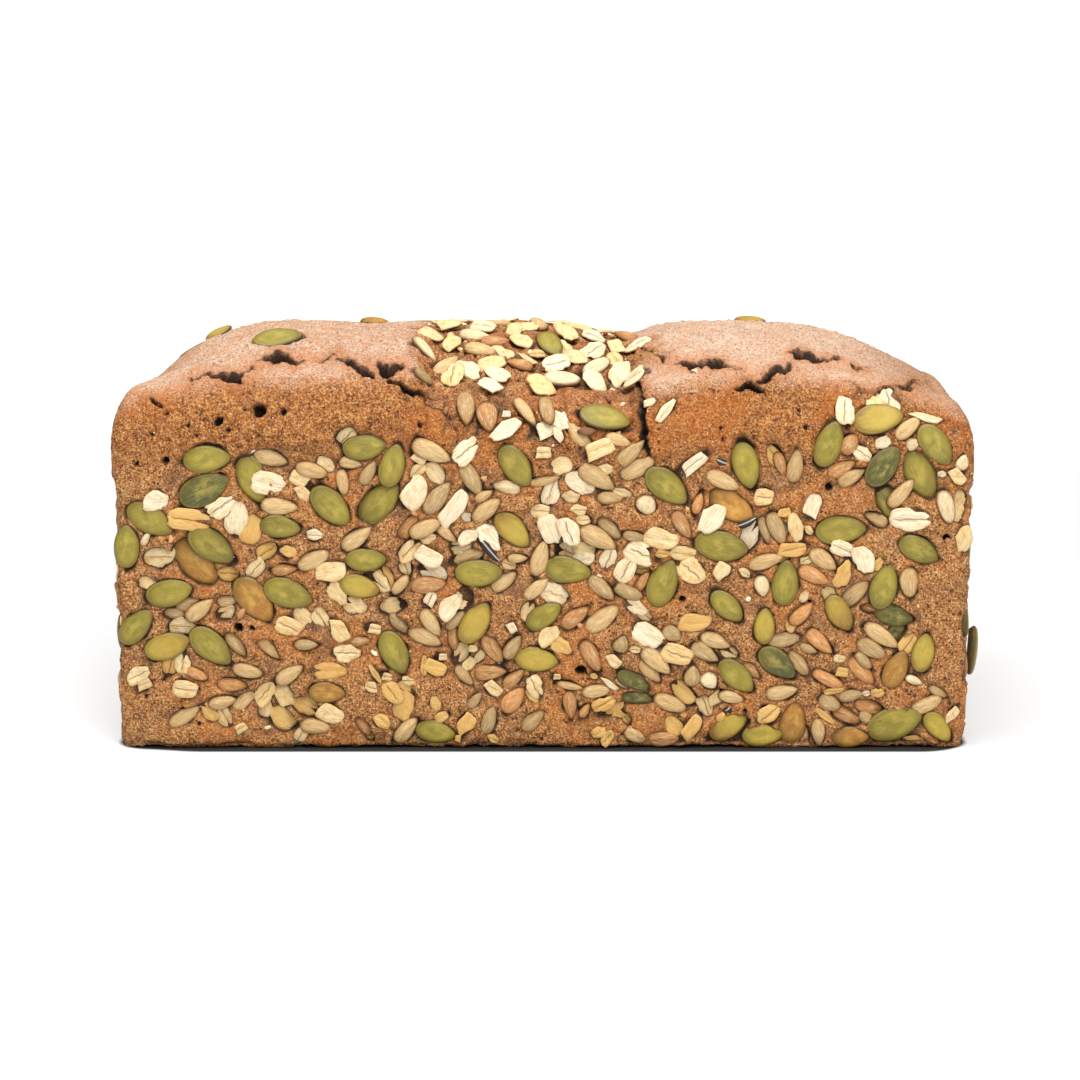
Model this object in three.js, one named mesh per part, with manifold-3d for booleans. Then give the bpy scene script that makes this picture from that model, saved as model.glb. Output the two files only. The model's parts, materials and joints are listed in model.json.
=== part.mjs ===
// A tin-baked rye loaf whose walls and middle are coated in pumpkin seeds, sunflower kernels and
// oat flakes. It is one baked piece: the crumb core with the seeds fused into its skin.
// Millimetres, +Z up, the front wall faces -Y, and the origin is under the middle of the base.
import * as THREE from "three";
import { mergeVertices } from "three/addons/utils/BufferGeometryUtils.js";
import Module from "manifold-3d";

// The tin sets the walls, and the dough rises above them into a domed top.
const LENGTH = 252.5;
const DEPTH = 110;
const CROWN = 120; // highest crust
const SHOULDER = 88; // height where the walls begin to lean in
const LEAN = { left: 6.5, right: 8, front: 12, back: 12 }; // how far each wall leans in
const CORNER = 4; // radius of the upright corners
const CORNER_TOP = 14; // their radius where the top crust starts
const FOOT = 2; // chamfer round the base
const BED = 1.3; // how far the dough lies behind the tin's wall between the seeds

// The dome drops towards both ends and both long walls. Towards an end the front edge keeps a
// share of its height.
const END_DROP = {
  left: { from: 72, drop: 24, power: 2.6, kept: 0.6 },
  right: { from: 66, drop: 21, power: 2.1, kept: 0.3 },
};
const FRONT_EDGE = { from: 18, to: 40 }; // how far in front of the middle that edge begins
const SIDE_DROP = 13;
const SADDLE = { depth: 4.2, x: 24, width: 13 }; // a dip between the seeded middle and the right lobe
const STRIP = { x: -3.5, inner: 27, outer: 34, depth: 6, reach: 40 }; // the seeded middle slopes down
const LUMP = { height: 0.7, x: 19, y: 14 };

// How finely the core is divided: along each side, and round the shoulder.
const CELLS = { x: 18, y: 8, shoulder: 3 };
const UPRIGHT_CELLS = 3; // the foot, the seeded wall and the step out to the bare band
const STEP_HEIGHT = 2.5; // height of that step

// Seeds: length, width, how much narrower the pointed end is, the share of the outline that the
// flat crown keeps, and the number of sides.
const PUMPKIN = { length: 14.2, width: 8.2, tip: 0.3, crown: 0.62, sides: 8 };
const KERNEL = { length: 9.8, width: 4.9, tip: 0.35, crown: 0.5, sides: 6 };
const FLAKE = { length: 8.4, width: 6.4, tip: 0.05, crown: 0.7, sides: 6 };
const PATCH = { tip: 0, crown: 0.85, sides: 8 }; // a bare patch is made like a seed, flat and wide
const SPREAD = 0.18; // sizes differ by this share either way
const PACKING = 0.95; // share of a seed's width kept clear of its neighbours
const ROOT = 1.2; // how deep a seed's underside is sunk in the dough
const RECESS = 0.15; // least depth of a crown behind the tin's wall, so that no two faces coincide
const RECESS_STEP = 0.07; // crowns lie at different depths, this far apart
const RECESS_STEPS = 6; // and at so many of them
const CLEAR = 0.4; // gap between the lowest seeds and the surface the loaf rests on
const SEED_HEIGHTS = { low: 4, high: 106 }; // where the middle of a drawn seed may lie
const RIM_MARGIN = 4; // none lies nearer to the rim of the top
const TRIES = 80; // draws for each seed that finds a place
const WELD = 0.03; // corners closer together than this become one
const RELIEF = 1.6; // how far a seed stands out of the top crust
const PROUD = 3.2; // and how far one of them stands out of the right end

// The lists of the front wall count x from a line this far beside the loaf's middle.
const LIST_SHIFT = -0.8;

// Pumpkin seeds of the front wall: x, z, turn in degrees and length.
const FRONT_PUMPKINS = [
  [-97, 87, 6, 14], [-98, 78, 26, 16], [-84, 81, -70, 15], [-51, 90, 5, 13], [-43, 85, 76, 13],
  [-61, 73, -48, 15], [-47, 74, 48, 16], [-114, 69, -32, 15], [-76, 67, -6, 12], [-121, 61, 88, 13],
  [-96, 61, -38, 16], [-101, 56, -50, 17], [-109, 47, 12, 14], [-84, 45, -52, 16], [-74, 47, -20, 15],
  [-119, 37, 48, 13], [-110, 31, 18, 14], [-97, 31, -42, 15], [-51, 57, 0, 12], [-53, 49, -12, 12],
  [-43, 29, -66, 14], [-63, 17, -3, 11], [-7, 85, -56, 14], [-8, 66, -45, 13], [-18, 53, 0, 14],
  [8, 54, -6, 14], [-19, 38, 57, 14], [1, 40, 35, 12], [-1, 27, -6, 13], [-31, 5, -10, 12],
  [37, 79, -40, 15], [60, 85, -76, 14], [56, 73, -33, 15], [53, 61, -11, 16], [36, 50, 70, 15],
  [72, 50, 86, 14], [55, 43, -45, 12], [84, 91, 70, 14], [98, 99, 15, 15], [100, 85, 53, 14],
  [115, 91, -52, 14], [111, 82, -64, 16], [102, 74, -60, 12], [88, 66, 5, 15], [111, 60, -28, 13],
  [101, 49, 75, 14], [88, 41, -60, 12], [104, 40, -12, 12], [113, 29, 80, 12], [105, 24, 66, 12],
  [70, 26, -38, 13], [58, 22, -42, 13], [66, 37, 88, 11], [56, 5, 34, 13], [66, 3, 3, 12],
  [75, 7, 80, 14], [92, 3, 0, 11], [105, 4, 19, 17], [118, 6, -50, 11], [19, 100, 0, 15],
];

// Patches of the front wall where bare dough reached the tin: x, z, half width, half height, turn.
const FRONT_BARE = [
  [27, 70, 12, 3, -12], [-44, 66, 3, 10, 35], [12, 46, 7, 4, -10], [-10, 40, 4, 7, -10],
  [-29, 15, 9, 6, 15], [18, 30, 9, 7, -20], [9, 25, 5, 7, 0], [44, 43, 13, 4, 8],
  [62, 33, 8, 7, 0], [83, 74, 15, 5, -8], [100, 62, 4, 9, -35], [116, 45, 4, 11, 0],
  [117, 27, 3, 14, 0], [109, 15, 6, 4, 10], [79, 16, 4, 7, 0], [89, 31, 5, 4, 0],
  [63, 13, 5, 7, 20], [-84, 33, 12, 5, -15], [-115, 18, 9, 9, 0], [-103, 5, 15, 4, 0],
  [-55, 21, 4, 8, 0], [-2, 8, 10, 6, 0],
];

// Height below which the front wall is seeded, from left to right: x and z.
const BARE_BORDER = [
  [-126, 74], [-114, 78.5], [-103.5, 88.5], [-84.5, 90.6], [-61, 90], [-57, 93], [-35, 97.5], [-30, 130],
  [29, 130], [31, 86], [46.5, 87.6], [57, 90.9], [73, 88.5], [81.5, 85.5], [84, 96], [93.5, 105],
  [105, 105.7], [122.5, 97.5],
];
const SIDE_BORDER = { height: 82, wave: 4, length: 17, ripple: 3, rippleLength: 7 }; // other walls

// Cracks where the top tore from the front shoulder: x, z and the gap's width.
const CRACKS = [
  [
    [-104, 106, 0.8], [-96, 108.6, 2.2], [-90, 109, 3.2], [-84, 110.4, 2.0], [-76, 111, 3.4],
    [-68, 111, 3.0], [-59, 110.6, 1.4], [-50, 110.2, 3.2], [-43, 108.5, 3.4], [-38, 105, 3.0],
    [-31, 102, 1.6],
  ],
  [
    [34, 83, 0.8], [31.5, 89, 1.8], [29.5, 94, 2.6], [29, 99, 3.2], [30, 104, 3.2],
    [34, 108, 2.6], [42, 110.2, 3.0], [50, 110.5, 1.8], [57, 109.2, 3.2], [63, 109.8, 1.2],
  ],
  [
    [70, 110, 1.0], [76, 110.4, 3.6], [84, 109, 2.2], [91, 106.5, 1.2], [95, 103.5, 2.6],
    [101, 104.4, 1.6], [106, 102.2, 0.8],
  ],
];
const CRACK_DEPTH = 5;
const CRACK_MOUTH = { above: 1.5, widening: 0.75, bottom: 0.15 }; // the cutter's reach and half widths
const CRACK_MARGIN = 5; // no seed lies nearer to a crack

// How far apart the bare patches of the other walls lie, and the least and most of their values.
const PATCHES = { apart: 12, height: [10, 70], halfWidth: [5, 12], halfHeight: [3, 7], turn: [-20, 20] };

// How many seeds each face gets, and the number that starts its draw.
const FACES = {
  front: { pumpkins: 0, kernels: 29, draw: 11 },
  back: { pumpkins: 32, kernels: 26, draw: 23 },
  left: { pumpkins: 10, kernels: 10, draw: 37 },
  right: { pumpkins: 10, kernels: 10, draw: 41 },
};
const TOP = { x: -4, halfWidth: 33, pumpkins: 4, kernels: 16, flakes: 14, draw: 53 };
const LOBE_PUMPKINS = [[-84, -24, 5], [-108, 14, 40], [-56, 38, 0], [70, 30, 10], [64, -8, 75]];
const END_PUMPKIN = { side: "right", u: -47, v: 28, turn: -84, length: 15, width: 8, kind: PUMPKIN };

const HALF = { x: LENGTH / 2, y: DEPTH / 2 };
const { smoothstep, degToRad } = THREE.MathUtils;
const wasm = await Module();
wasm.setup();

// A repeatable stream of numbers from 0 to 1.
function drawer(seed) {
  let state = seed;
  return () => {
    state = (Math.imul(state, 1664525) + 1013904223) >>> 0;
    return state / 2 ** 32;
  };
}

// How far the top crust lies below the crown because of the ends.
function endDrop(x, y) {
  const end = x < 0 ? END_DROP.left : END_DROP.right;
  const beyond = Math.max(0, Math.abs(x) - end.from) / (HALF.x - end.from);
  const kept = end.kept * smoothstep(-y, FRONT_EDGE.from, FRONT_EDGE.to);
  return end.drop * beyond ** end.power * (1 - kept);
}

// Height of the top crust.
function topHeight(x, y) {
  const inStrip = 1 - smoothstep(Math.abs(x - STRIP.x), STRIP.inner, STRIP.outer);
  const strip = STRIP.depth * inStrip * smoothstep(-y, 0, STRIP.reach);
  const saddle = SADDLE.depth * Math.exp(-(((x - SADDLE.x) / SADDLE.width) ** 2));
  const lumps = LUMP.height * Math.sin(x / LUMP.x) * Math.cos(y / LUMP.y);
  return CROWN - endDrop(x, y) - SIDE_DROP * (y / HALF.y) ** 2 - strip - saddle + lumps;
}

// The rounded rectangle of the walls where they have leaned in by a share of their reach.
function outline(share, inset) {
  return {
    left: -HALF.x + LEAN.left * share + inset,
    right: HALF.x - LEAN.right * share - inset,
    front: -HALF.y + LEAN.front * share + inset,
    back: HALF.y - LEAN.back * share - inset,
    radius: CORNER + (CORNER_TOP - CORNER) * share,
  };
}

// A place along one side from -1 to 1, whose last stretch takes half of the corner's arc:
// the distance along the side, and the distance back from it.
function alongSide(t, from, to, radius) {
  const middle = (from + to) / 2;
  const straight = (to - from) / 2 - radius;
  const distance = (t * (to - from)) / 2;
  const over = Math.abs(distance) - straight;
  if (over <= 0) return [middle + distance, 0];
  const angle = ((over / radius) * Math.PI) / 4;
  const reach = straight + radius * Math.sin(angle);
  return [middle + Math.sign(distance) * reach, radius * (1 - Math.cos(angle))];
}

// The point of an outline for a direction in the square from -1 to 1.
function outlinePoint(a, b, edge) {
  if (Math.abs(b) >= Math.abs(a)) {
    const [x, back] = alongSide(a, edge.left, edge.right, edge.radius);
    return b < 0 ? [x, edge.front + back] : [x, edge.back - back];
  }
  const [y, back] = alongSide(b, edge.front, edge.back, edge.radius);
  return a < 0 ? [edge.left + back, y] : [edge.right - back, y];
}

// A point of the wall. Up to SHOULDER it is upright. Above, it follows a quarter of an ellipse
// over into the top crust, and angle says how far round.
function wallPoint(a, b, height, angle) {
  if (angle === 0) {
    const [x, y] = outlinePoint(a, b, outline(0, Math.max(0, FOOT - height)));
    return new THREE.Vector3(x, y, height);
  }
  const [x, y] = outlinePoint(a, b, outline(1 - Math.cos(angle), 0));
  return new THREE.Vector3(x, y, SHOULDER + (rimHeight(a, b) - SHOULDER) * Math.sin(angle));
}

// Height of the rim of the top, where the wall ends.
function rimHeight(a, b) {
  return topHeight(...outlinePoint(a, b, outline(1, 0)));
}

// The wall at a height.
function wallAt(a, b, z) {
  if (z <= SHOULDER) return wallPoint(a, b, z, 0);
  const share = (z - SHOULDER) / (rimHeight(a, b) - SHOULDER);
  return wallPoint(a, b, SHOULDER, Math.asin(Math.min(1, share)));
}

const SIDES = {
  front: (u) => [u / HALF.x, -1],
  back: (u) => [u / HALF.x, 1],
  left: (u) => [-1, u / HALF.y],
  right: (u) => [1, u / HALF.y],
};

// A point of the skin, with the way out of it and the way along it.
function place(side, u, v) {
  const step = 0.5;
  const at =
    side === "top"
      ? (p, q) => new THREE.Vector3(p, q, topHeight(p, q))
      : (p, q) => wallAt(...SIDES[side](p), q);
  const along = at(u + step, v).sub(at(u - step, v)).normalize();
  const up = at(u, v + step).sub(at(u, v - step)).normalize();
  const out = new THREE.Vector3().crossVectors(along, up).normalize();
  if (side === "back" || side === "left") out.negate();
  return { point: at(u, v), along, out };
}

// The height below which a wall is seeded. Above it the dough rose bare.
function seedLine(side, u) {
  if (side !== "front") {
    const { height, wave, length, ripple, rippleLength } = SIDE_BORDER;
    return height + wave * Math.sin(u / length) + ripple * Math.sin(u / rippleLength);
  }
  const x = u - LIST_SHIFT;
  const after = BARE_BORDER.findIndex(([borderX]) => borderX > x);
  if (after === 0) return BARE_BORDER[0][1];
  if (after < 0) return BARE_BORDER.at(-1)[1];
  const [[x0, z0], [x1, z1]] = BARE_BORDER.slice(after - 1, after + 1);
  return THREE.MathUtils.lerp(z0, z1, (x - x0) / (x1 - x0));
}

// Bare patches of a wall. Those that aren't listed are spread along it by chance.
function patchesOf(side) {
  if (side === "front") return FRONT_BARE.map(([x, ...others]) => [x + LIST_SHIFT, ...others]);
  const draw = drawer(FACES[side].draw + 100);
  const { apart, height, halfWidth, halfHeight, turn } = PATCHES;
  const half = (side === "back" ? HALF.x : HALF.y) - apart;
  const count = Math.round(half / apart);
  const between = ([low, high]) => low + (high - low) * draw();
  return Array.from({ length: count }, (_, n) => {
    const u = half * ((2 * (n + draw())) / count - 1);
    return [u, between(height), between(halfWidth), between(halfHeight), between(turn)];
  });
}

function inPatch([x, z, halfWidth, halfHeight, turn], u, v) {
  const angle = degToRad(turn);
  const across = (u - x) * Math.cos(angle) + (v - z) * Math.sin(angle);
  const upward = (v - z) * Math.cos(angle) - (u - x) * Math.sin(angle);
  return Math.hypot(across / halfWidth, upward / halfHeight) < 1;
}

function isBare(side, u, v) {
  return v > seedLine(side, u) || patchesOf(side).some((patch) => inPatch(patch, u, v));
}

function nearCrack(u, v) {
  const x = u - LIST_SHIFT;
  return CRACKS.flat().some(([crackX, z, width]) => Math.hypot(x - crackX, v - z) < CRACK_MARGIN + width);
}

// Whether a drawn seed may lie at a place of a wall.
function mayHoldSeed(side, u, v) {
  const low = v < rimHeight(...SIDES[side](u)) - RIM_MARGIN;
  return low && !isBare(side, u, v) && !(side === "front" && nearCrack(u, v));
}

// Two seeds, each taken as a rounded bar: true if they would lie on each other.
function clash(one, two) {
  const spots = ({ u, v, turn, length, width }) => {
    const reach = (length - width) / 2;
    const angle = degToRad(turn);
    return [-1, 0, 1].map((k) => [u + k * reach * Math.cos(angle), v + k * reach * Math.sin(angle)]);
  };
  const near = (PACKING * (one.width + two.width)) / 2;
  return spots(one).some(([x, y]) => spots(two).some(([p, q]) => Math.hypot(x - p, y - q) < near));
}

// Draws places for one kind until the area holds as many as it should or has no room.
function scatter(seeds, kind, count, draw, { middle = 0, halfWidth, low, high, allowed }) {
  let left = count;
  for (let n = 0; left > 0 && n < TRIES * count; n++) {
    const u = middle + halfWidth * (2 * draw() - 1);
    const v = low + (high - low) * draw();
    const turn = 180 * draw();
    const scale = 1 + SPREAD * (2 * draw() - 1);
    const seed = { kind, u, v, turn, length: kind.length * scale, width: kind.width * scale };
    if (!allowed(u, v) || seeds.some((other) => clash(seed, other))) continue;
    seeds.push(seed);
    left--;
  }
}

function seedsOfWall(side) {
  const { pumpkins, kernels, draw: start } = FACES[side];
  const listed = side === "front" ? FRONT_PUMPKINS : [];
  const seeds = listed.map(([x, v, turn, length]) => {
    const width = (PUMPKIN.width / PUMPKIN.length) * length;
    return { kind: PUMPKIN, u: x + LIST_SHIFT, v, turn, length, width };
  });
  const area = {
    ...SEED_HEIGHTS,
    halfWidth: (side === "front" || side === "back" ? HALF.x : HALF.y) - CORNER,
    allowed: (u, v) => mayHoldSeed(side, u, v),
  };
  const draw = drawer(start);
  scatter(seeds, PUMPKIN, pumpkins, draw, area);
  scatter(seeds, KERNEL, kernels, draw, area);
  return seeds.map((seed) => ({ ...seed, side }));
}

function seedsOfTop() {
  const { length, width } = PUMPKIN;
  const seeds = LOBE_PUMPKINS.map(([u, v, turn]) => ({ kind: PUMPKIN, u, v, turn, length, width }));
  const high = HALF.y - LEAN.front;
  const area = { middle: TOP.x, halfWidth: TOP.halfWidth, low: -high, high, allowed: () => true };
  const draw = drawer(TOP.draw);
  scatter(seeds, PUMPKIN, TOP.pumpkins, draw, area);
  scatter(seeds, KERNEL, TOP.kernels, draw, area);
  scatter(seeds, FLAKE, TOP.flakes, draw, area);
  return seeds.map((seed) => ({ ...seed, side: "top" }));
}

// Moves each corner of a geometry by a rule and closes the result.
function shaped(geometry, rule) {
  geometry.deleteAttribute("normal");
  geometry.deleteAttribute("uv");
  const position = geometry.getAttribute("position");
  for (let i = 0; i < position.count; i++) {
    const moved = rule(new THREE.Vector3().fromBufferAttribute(position, i));
    position.setXYZ(i, moved.x, moved.y, moved.z);
  }
  return mergeVertices(geometry, 1e-3);
}

function solid(geometry) {
  const vertProperties = new Float32Array(geometry.getAttribute("position").array);
  const triVerts = new Uint32Array(geometry.index.array);
  return new wasm.Manifold(new wasm.Mesh({ numProp: 3, vertProperties, triVerts }));
}

// A point of the loaf's flat base or domed top, from the middle (0, 0) out to the walls.
function lidPoint(a, b, isTop) {
  const edge = isTop ? outline(1, 0) : outline(0, FOOT);
  const middle = [(edge.left + edge.right) / 2, (edge.front + edge.back) / 2];
  const rim = Math.max(Math.abs(a), Math.abs(b));
  const toward = rim > 0 ? outlinePoint(a / rim, b / rim, edge) : middle;
  const [x, y] = toward.map((value, axis) => middle[axis] + (value - middle[axis]) * rim);
  return new THREE.Vector3(x, y, isTop ? topHeight(x, y) : 0);
}

// A point of the core's wall, sunk behind the tin's wall where seeds lie.
function sunkWallPoint(a, b, row) {
  const onLong = Math.abs(b) > 1 - 1e-6;
  const onEnd = Math.abs(a) > 1 - 1e-6;
  const side = onLong ? (b < 0 ? "front" : "back") : a < 0 ? "left" : "right";
  const line = seedLine(side, onLong ? a * HALF.x : b * HALF.y);
  const step = Math.min(line, SHOULDER - STEP_HEIGHT);
  const heights = [0, FOOT, step, step + STEP_HEIGHT];
  const angle = (Math.max(0, row - UPRIGHT_CELLS) / CELLS.shoulder) * (Math.PI / 2);
  const point = wallPoint(a, b, row <= UPRIGHT_CELLS ? heights[row] : SHOULDER, angle);
  if (point.z > line) return point;
  const depth = BED * Math.cos(angle);
  if (onEnd) point.x -= Math.sign(a) * depth;
  if (onLong) point.y -= Math.sign(b) * depth;
  return point;
}

// The crumb core: a divided box bent into the loaf.
function core() {
  const rows = UPRIGHT_CELLS + CELLS.shoulder;
  return shaped(new THREE.BoxGeometry(2, 2, 2, CELLS.x, CELLS.y, rows), ({ x: a, y: b, z: c }) => {
    const onWall = Math.max(Math.abs(a), Math.abs(b)) > 1 - 1e-6;
    return onWall ? sunkWallPoint(a, b, Math.round(((c + 1) / 2) * rows)) : lidPoint(a, b, c > 0);
  });
}

// A patch of bare dough: a flat plate from the sunk wall out to the tin's wall.
function patchBody(side, patch) {
  const [u, v, halfWidth, halfHeight, turn] = patch;
  const size = { length: 2 * halfWidth, width: 2 * halfHeight };
  return seedBody({ side, kind: PATCH, u, v, turn, ...size }, -RECESS / 2);
}

// A seed: a low faceted dome, longer than wide, drawn to a point at one end, its root sunk.
function seedBody({ side, kind, u, v, turn, length, width }, relief) {
  const angle = degToRad(turn);
  const halfHeight = Math.hypot((length * Math.sin(angle)) / 2, (width * Math.cos(angle)) / 2);
  const { point, along, out } = place(side, u, side === "top" ? v : Math.max(v, halfHeight + CLEAR));
  const across = new THREE.Vector3().crossVectors(out, along);
  const lengthways = along.clone().applyAxisAngle(out, angle);
  const sideways = across.applyAxisAngle(out, angle);
  return shaped(new THREE.CylinderGeometry(kind.crown, 1, 1, kind.sides), (p) => {
    const narrow = 1 - (kind.tip * Math.max(0, p.z)) / Math.max(kind.crown, Math.hypot(p.x, p.z));
    return point
      .clone()
      .addScaledVector(lengthways, (p.z * length) / 2)
      .addScaledVector(sideways, (p.x * narrow * width) / 2)
      .addScaledVector(out, p.y > 0 ? relief : -BED - ROOT);
  });
}

// How far a seed of a wall stands out: held back by the tin below, free above the shoulder.
function wallRelief({ v }, n) {
  const free = RELIEF * THREE.MathUtils.clamp((v - SHOULDER) / (CROWN - SHOULDER), 0, 1);
  return free - RECESS - RECESS_STEP * (n % RECESS_STEPS);
}

// A crack's cutter: a wedge along the front shoulder, wide outside and narrow inside.
function crackBlade(path) {
  const last = path.length - 1;
  const stations = path.map(([x, z, width]) => ({ ...place("front", x + LIST_SHIFT, z), width }));
  return shaped(new THREE.BoxGeometry(2, 2, 2, last, 1, 1), ({ x: t, y, z }) => {
    const index = Math.round(((t + 1) / 2) * last);
    const { point, out, width } = stations[index];
    const before = stations[Math.max(0, index - 1)].point;
    const after = stations[Math.min(last, index + 1)].point;
    const forward = after.clone().sub(before).normalize();
    const across = new THREE.Vector3().crossVectors(out, forward);
    const outside = z > 0;
    return point
      .clone()
      .addScaledVector(out, outside ? CRACK_MOUTH.above : -CRACK_DEPTH * Math.min(1, width / 2))
      .addScaledVector(across, y * width * (outside ? CRACK_MOUTH.widening : CRACK_MOUTH.bottom));
  });
}

function buildLoaf() {
  const sides = Object.keys(SIDES);
  const bodies = [
    ...sides.flatMap((side) => patchesOf(side).map((patch) => patchBody(side, patch))),
    ...sides.flatMap(seedsOfWall).map((seed, n) => seedBody(seed, wallRelief(seed, n))),
    ...seedsOfTop().map((seed, n) => seedBody(seed, RELIEF - RECESS_STEP * (n % RECESS_STEPS))),
    seedBody(END_PUMPKIN, PROUD),
  ];
  let loaf = solid(core());
  for (const path of CRACKS) loaf = loaf.subtract(solid(crackBlade(path)));
  for (const body of bodies) loaf = loaf.add(solid(body));
  return loaf;
}

// Makes corners that the joins left almost together one, and drops the slivers between them.
function welded(geometry) {
  const merged = mergeVertices(geometry, WELD);
  const corners = merged.index.array;
  const kept = [];
  for (let i = 0; i < corners.length; i += 3) {
    const [p, q, r] = corners.slice(i, i + 3);
    if (p !== q && q !== r && r !== p) kept.push(p, q, r);
  }
  return merged.setIndex(kept);
}

function meshOf(manifold, name, material) {
  const { vertProperties, triVerts } = manifold.getMesh();
  const joined = new THREE.BufferGeometry();
  joined.setAttribute("position", new THREE.BufferAttribute(vertProperties, 3));
  joined.setIndex(new THREE.BufferAttribute(triVerts, 1));
  const geometry = welded(joined);
  geometry.computeVertexNormals();
  const mesh = new THREE.Mesh(geometry, material);
  mesh.name = name;
  return mesh;
}

const crust = new THREE.MeshStandardMaterial({ color: 0xa97a52, roughness: 0.85, metalness: 0 });
const loaf = new THREE.Group();
loaf.add(meshOf(buildLoaf(), "loaf", crust));
loaf.position.x = -PROUD / 2;

export default loaf;
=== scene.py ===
import json
import math

import bpy
import mathutils
import numpy as np
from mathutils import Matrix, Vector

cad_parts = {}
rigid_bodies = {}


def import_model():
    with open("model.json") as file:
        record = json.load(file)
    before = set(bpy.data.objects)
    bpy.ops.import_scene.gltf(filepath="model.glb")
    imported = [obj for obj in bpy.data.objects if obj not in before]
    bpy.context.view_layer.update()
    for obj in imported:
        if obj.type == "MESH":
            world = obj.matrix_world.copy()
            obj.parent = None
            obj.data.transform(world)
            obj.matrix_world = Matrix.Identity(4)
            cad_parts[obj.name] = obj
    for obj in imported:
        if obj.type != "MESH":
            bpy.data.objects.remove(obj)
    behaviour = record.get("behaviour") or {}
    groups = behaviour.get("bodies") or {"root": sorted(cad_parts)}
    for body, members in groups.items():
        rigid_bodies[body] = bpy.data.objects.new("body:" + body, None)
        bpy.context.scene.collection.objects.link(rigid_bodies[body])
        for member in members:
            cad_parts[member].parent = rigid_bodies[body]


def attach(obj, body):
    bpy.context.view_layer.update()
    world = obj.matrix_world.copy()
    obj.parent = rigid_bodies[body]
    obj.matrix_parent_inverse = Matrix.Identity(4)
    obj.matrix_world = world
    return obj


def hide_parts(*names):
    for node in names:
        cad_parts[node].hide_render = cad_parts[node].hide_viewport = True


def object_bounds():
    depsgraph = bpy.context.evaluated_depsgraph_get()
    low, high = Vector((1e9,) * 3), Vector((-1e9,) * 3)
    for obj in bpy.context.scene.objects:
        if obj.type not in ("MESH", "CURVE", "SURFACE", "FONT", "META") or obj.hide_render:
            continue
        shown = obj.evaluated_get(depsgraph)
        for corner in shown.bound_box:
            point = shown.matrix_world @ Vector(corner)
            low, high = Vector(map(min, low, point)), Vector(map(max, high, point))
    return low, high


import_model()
cad_low, cad_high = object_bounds()

MM = 0.001
SHIFT_X = -1.6  # the loaf lies this far off the middle, because one seed stands out of its right end

# ---------------------------------------------------------------- the loaf, as in the solid
LENGTH = 252.5
DEPTH = 110.0
CROWN = 120.0
SHOULDER = 88.0  # height where the walls begin to lean in
SHOULDER_ARC = 20.0  # distance along the wall for each radian of the shoulder
WALL_TOP = SHOULDER + SHOULDER_ARC * math.pi / 2  # distance up the wall to the rim of the top
LEAN = {"left": 6.5, "right": 8.0, "front": 12.0, "back": 12.0}
CORNER = 4.0
CORNER_TOP = 14.0
FOOT = 1.2
HALF_X = LENGTH / 2
HALF_Y = DEPTH / 2
END_DROP = {"left": (72.0, 24.0, 2.6, 0.6), "right": (66.0, 21.0, 2.1, 0.3)}  # from, drop, power, kept
FRONT_EDGE = (18.0, 40.0)  # in front of the middle: from here to here the front edge begins
SIDE_DROP = 13.0
SADDLE = {"depth": 4.2, "x": 24.0, "width": 13.0}
STRIP = {"x": -3.5, "inner": 27.0, "outer": 34.0, "depth": 6.0, "reach": 40.0}
STRIP_END = (22.0, 40.0)  # behind the middle: from here to here the strip's rough dough ends
LUMP = {"height": 0.7, "x": 19.0, "y": 14.0}

# Where the eye stands, in the loaf's own frame. Seeds of the front are placed as seen from here.
EYE = (-0.8, -877.0, 227.0)
EYE_PITCH = 11.27  # degrees down
EYE_LENS = 95.6
LIST_SHIFT = -0.8  # the front's lists start this far beside the loaf's middle

# ---------------------------------------------------------------- seeds of the front
# Each row is x, z, turn in degrees and length, and where they matter width and sink. The sink is
# how far the face lies behind the tin's wall, and a row with -1 lies over its neighbours.
FRONT_PUMPKINS = {
    "green": [
        (-97, 87, 6, 14), (-84, 81, -70, 15), (-43, 85, 76, 13), (-61, 73, -48, 15), (-47, 74, 48, 16),
        (-114, 69, -32, 15), (-76, 67, -6, 12), (-121, 61, 88, 13), (-96, 61, -38, 16), (-109, 47, 12, 14),
        (-74, 47, -20, 15), (-119, 37, 48, 13), (-97, 31, -42, 15), (-51, 57, 0, 12), (-43, 29, -66, 14),
        (-7, 85, -56, 14), (-18, 53, 0, 14), (8, 54, -6, 14), (1, 40, 35, 12), (-31, 5, -10, 12),
        (60, 85, -76, 14), (36, 50, 70, 15), (72, 50, 86, 14), (55, 43, -45, 12), (84, 91, 70, 14),
        (115, 91, -52, 14), (111, 82, -64, 16), (102, 74, -60, 12), (88, 66, 5, 15), (58, 22, -42, 13),
        (105, 4, 19, 17), (101, 49, 75, 14), (111, 60, -28, 13), (-51, 90, 5, 13), (19, 100, 0, 15),
        (37, 79, -40, 15), (53, 61, -11, 16),
    ],
    "olive": [
        (-8, 66, -45, 13), (-110, 31, 18, 14), (-53, 49, -12, 12), (-19, 38, 57, 14), (-1, 27, -6, 13),
        (66, 37, 88, 11), (66, 3, 3, 12), (56, 5, 34, 13), (118, 6, -50, 11), (98, 99, 15, 15),
        (113, 29, 80, 12), (88, 41, -60, 12),
    ],
    "dark": [
        (-98, 78, 26, 16), (100, 85, 53, 14), (70, 26, -38, 13), (104, 40, -12, 12),
        (28.1, 20.1, -30, 11.5, 5.4, 0.9), (28.8, 15, -8, 11, 4, 1.6), (105, 35.5, 60, 9, 5.5, 1.6),
    ],
    "brown": [
        (-101, 56, -50, 17), (-84, 45, -52, 16), (-63, 17, -3, 11), (56, 73, -33, 15), (105, 24, 66, 12),
        (75, 7, 80, 14), (92, 3, 0, 11),
    ],
}
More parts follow.
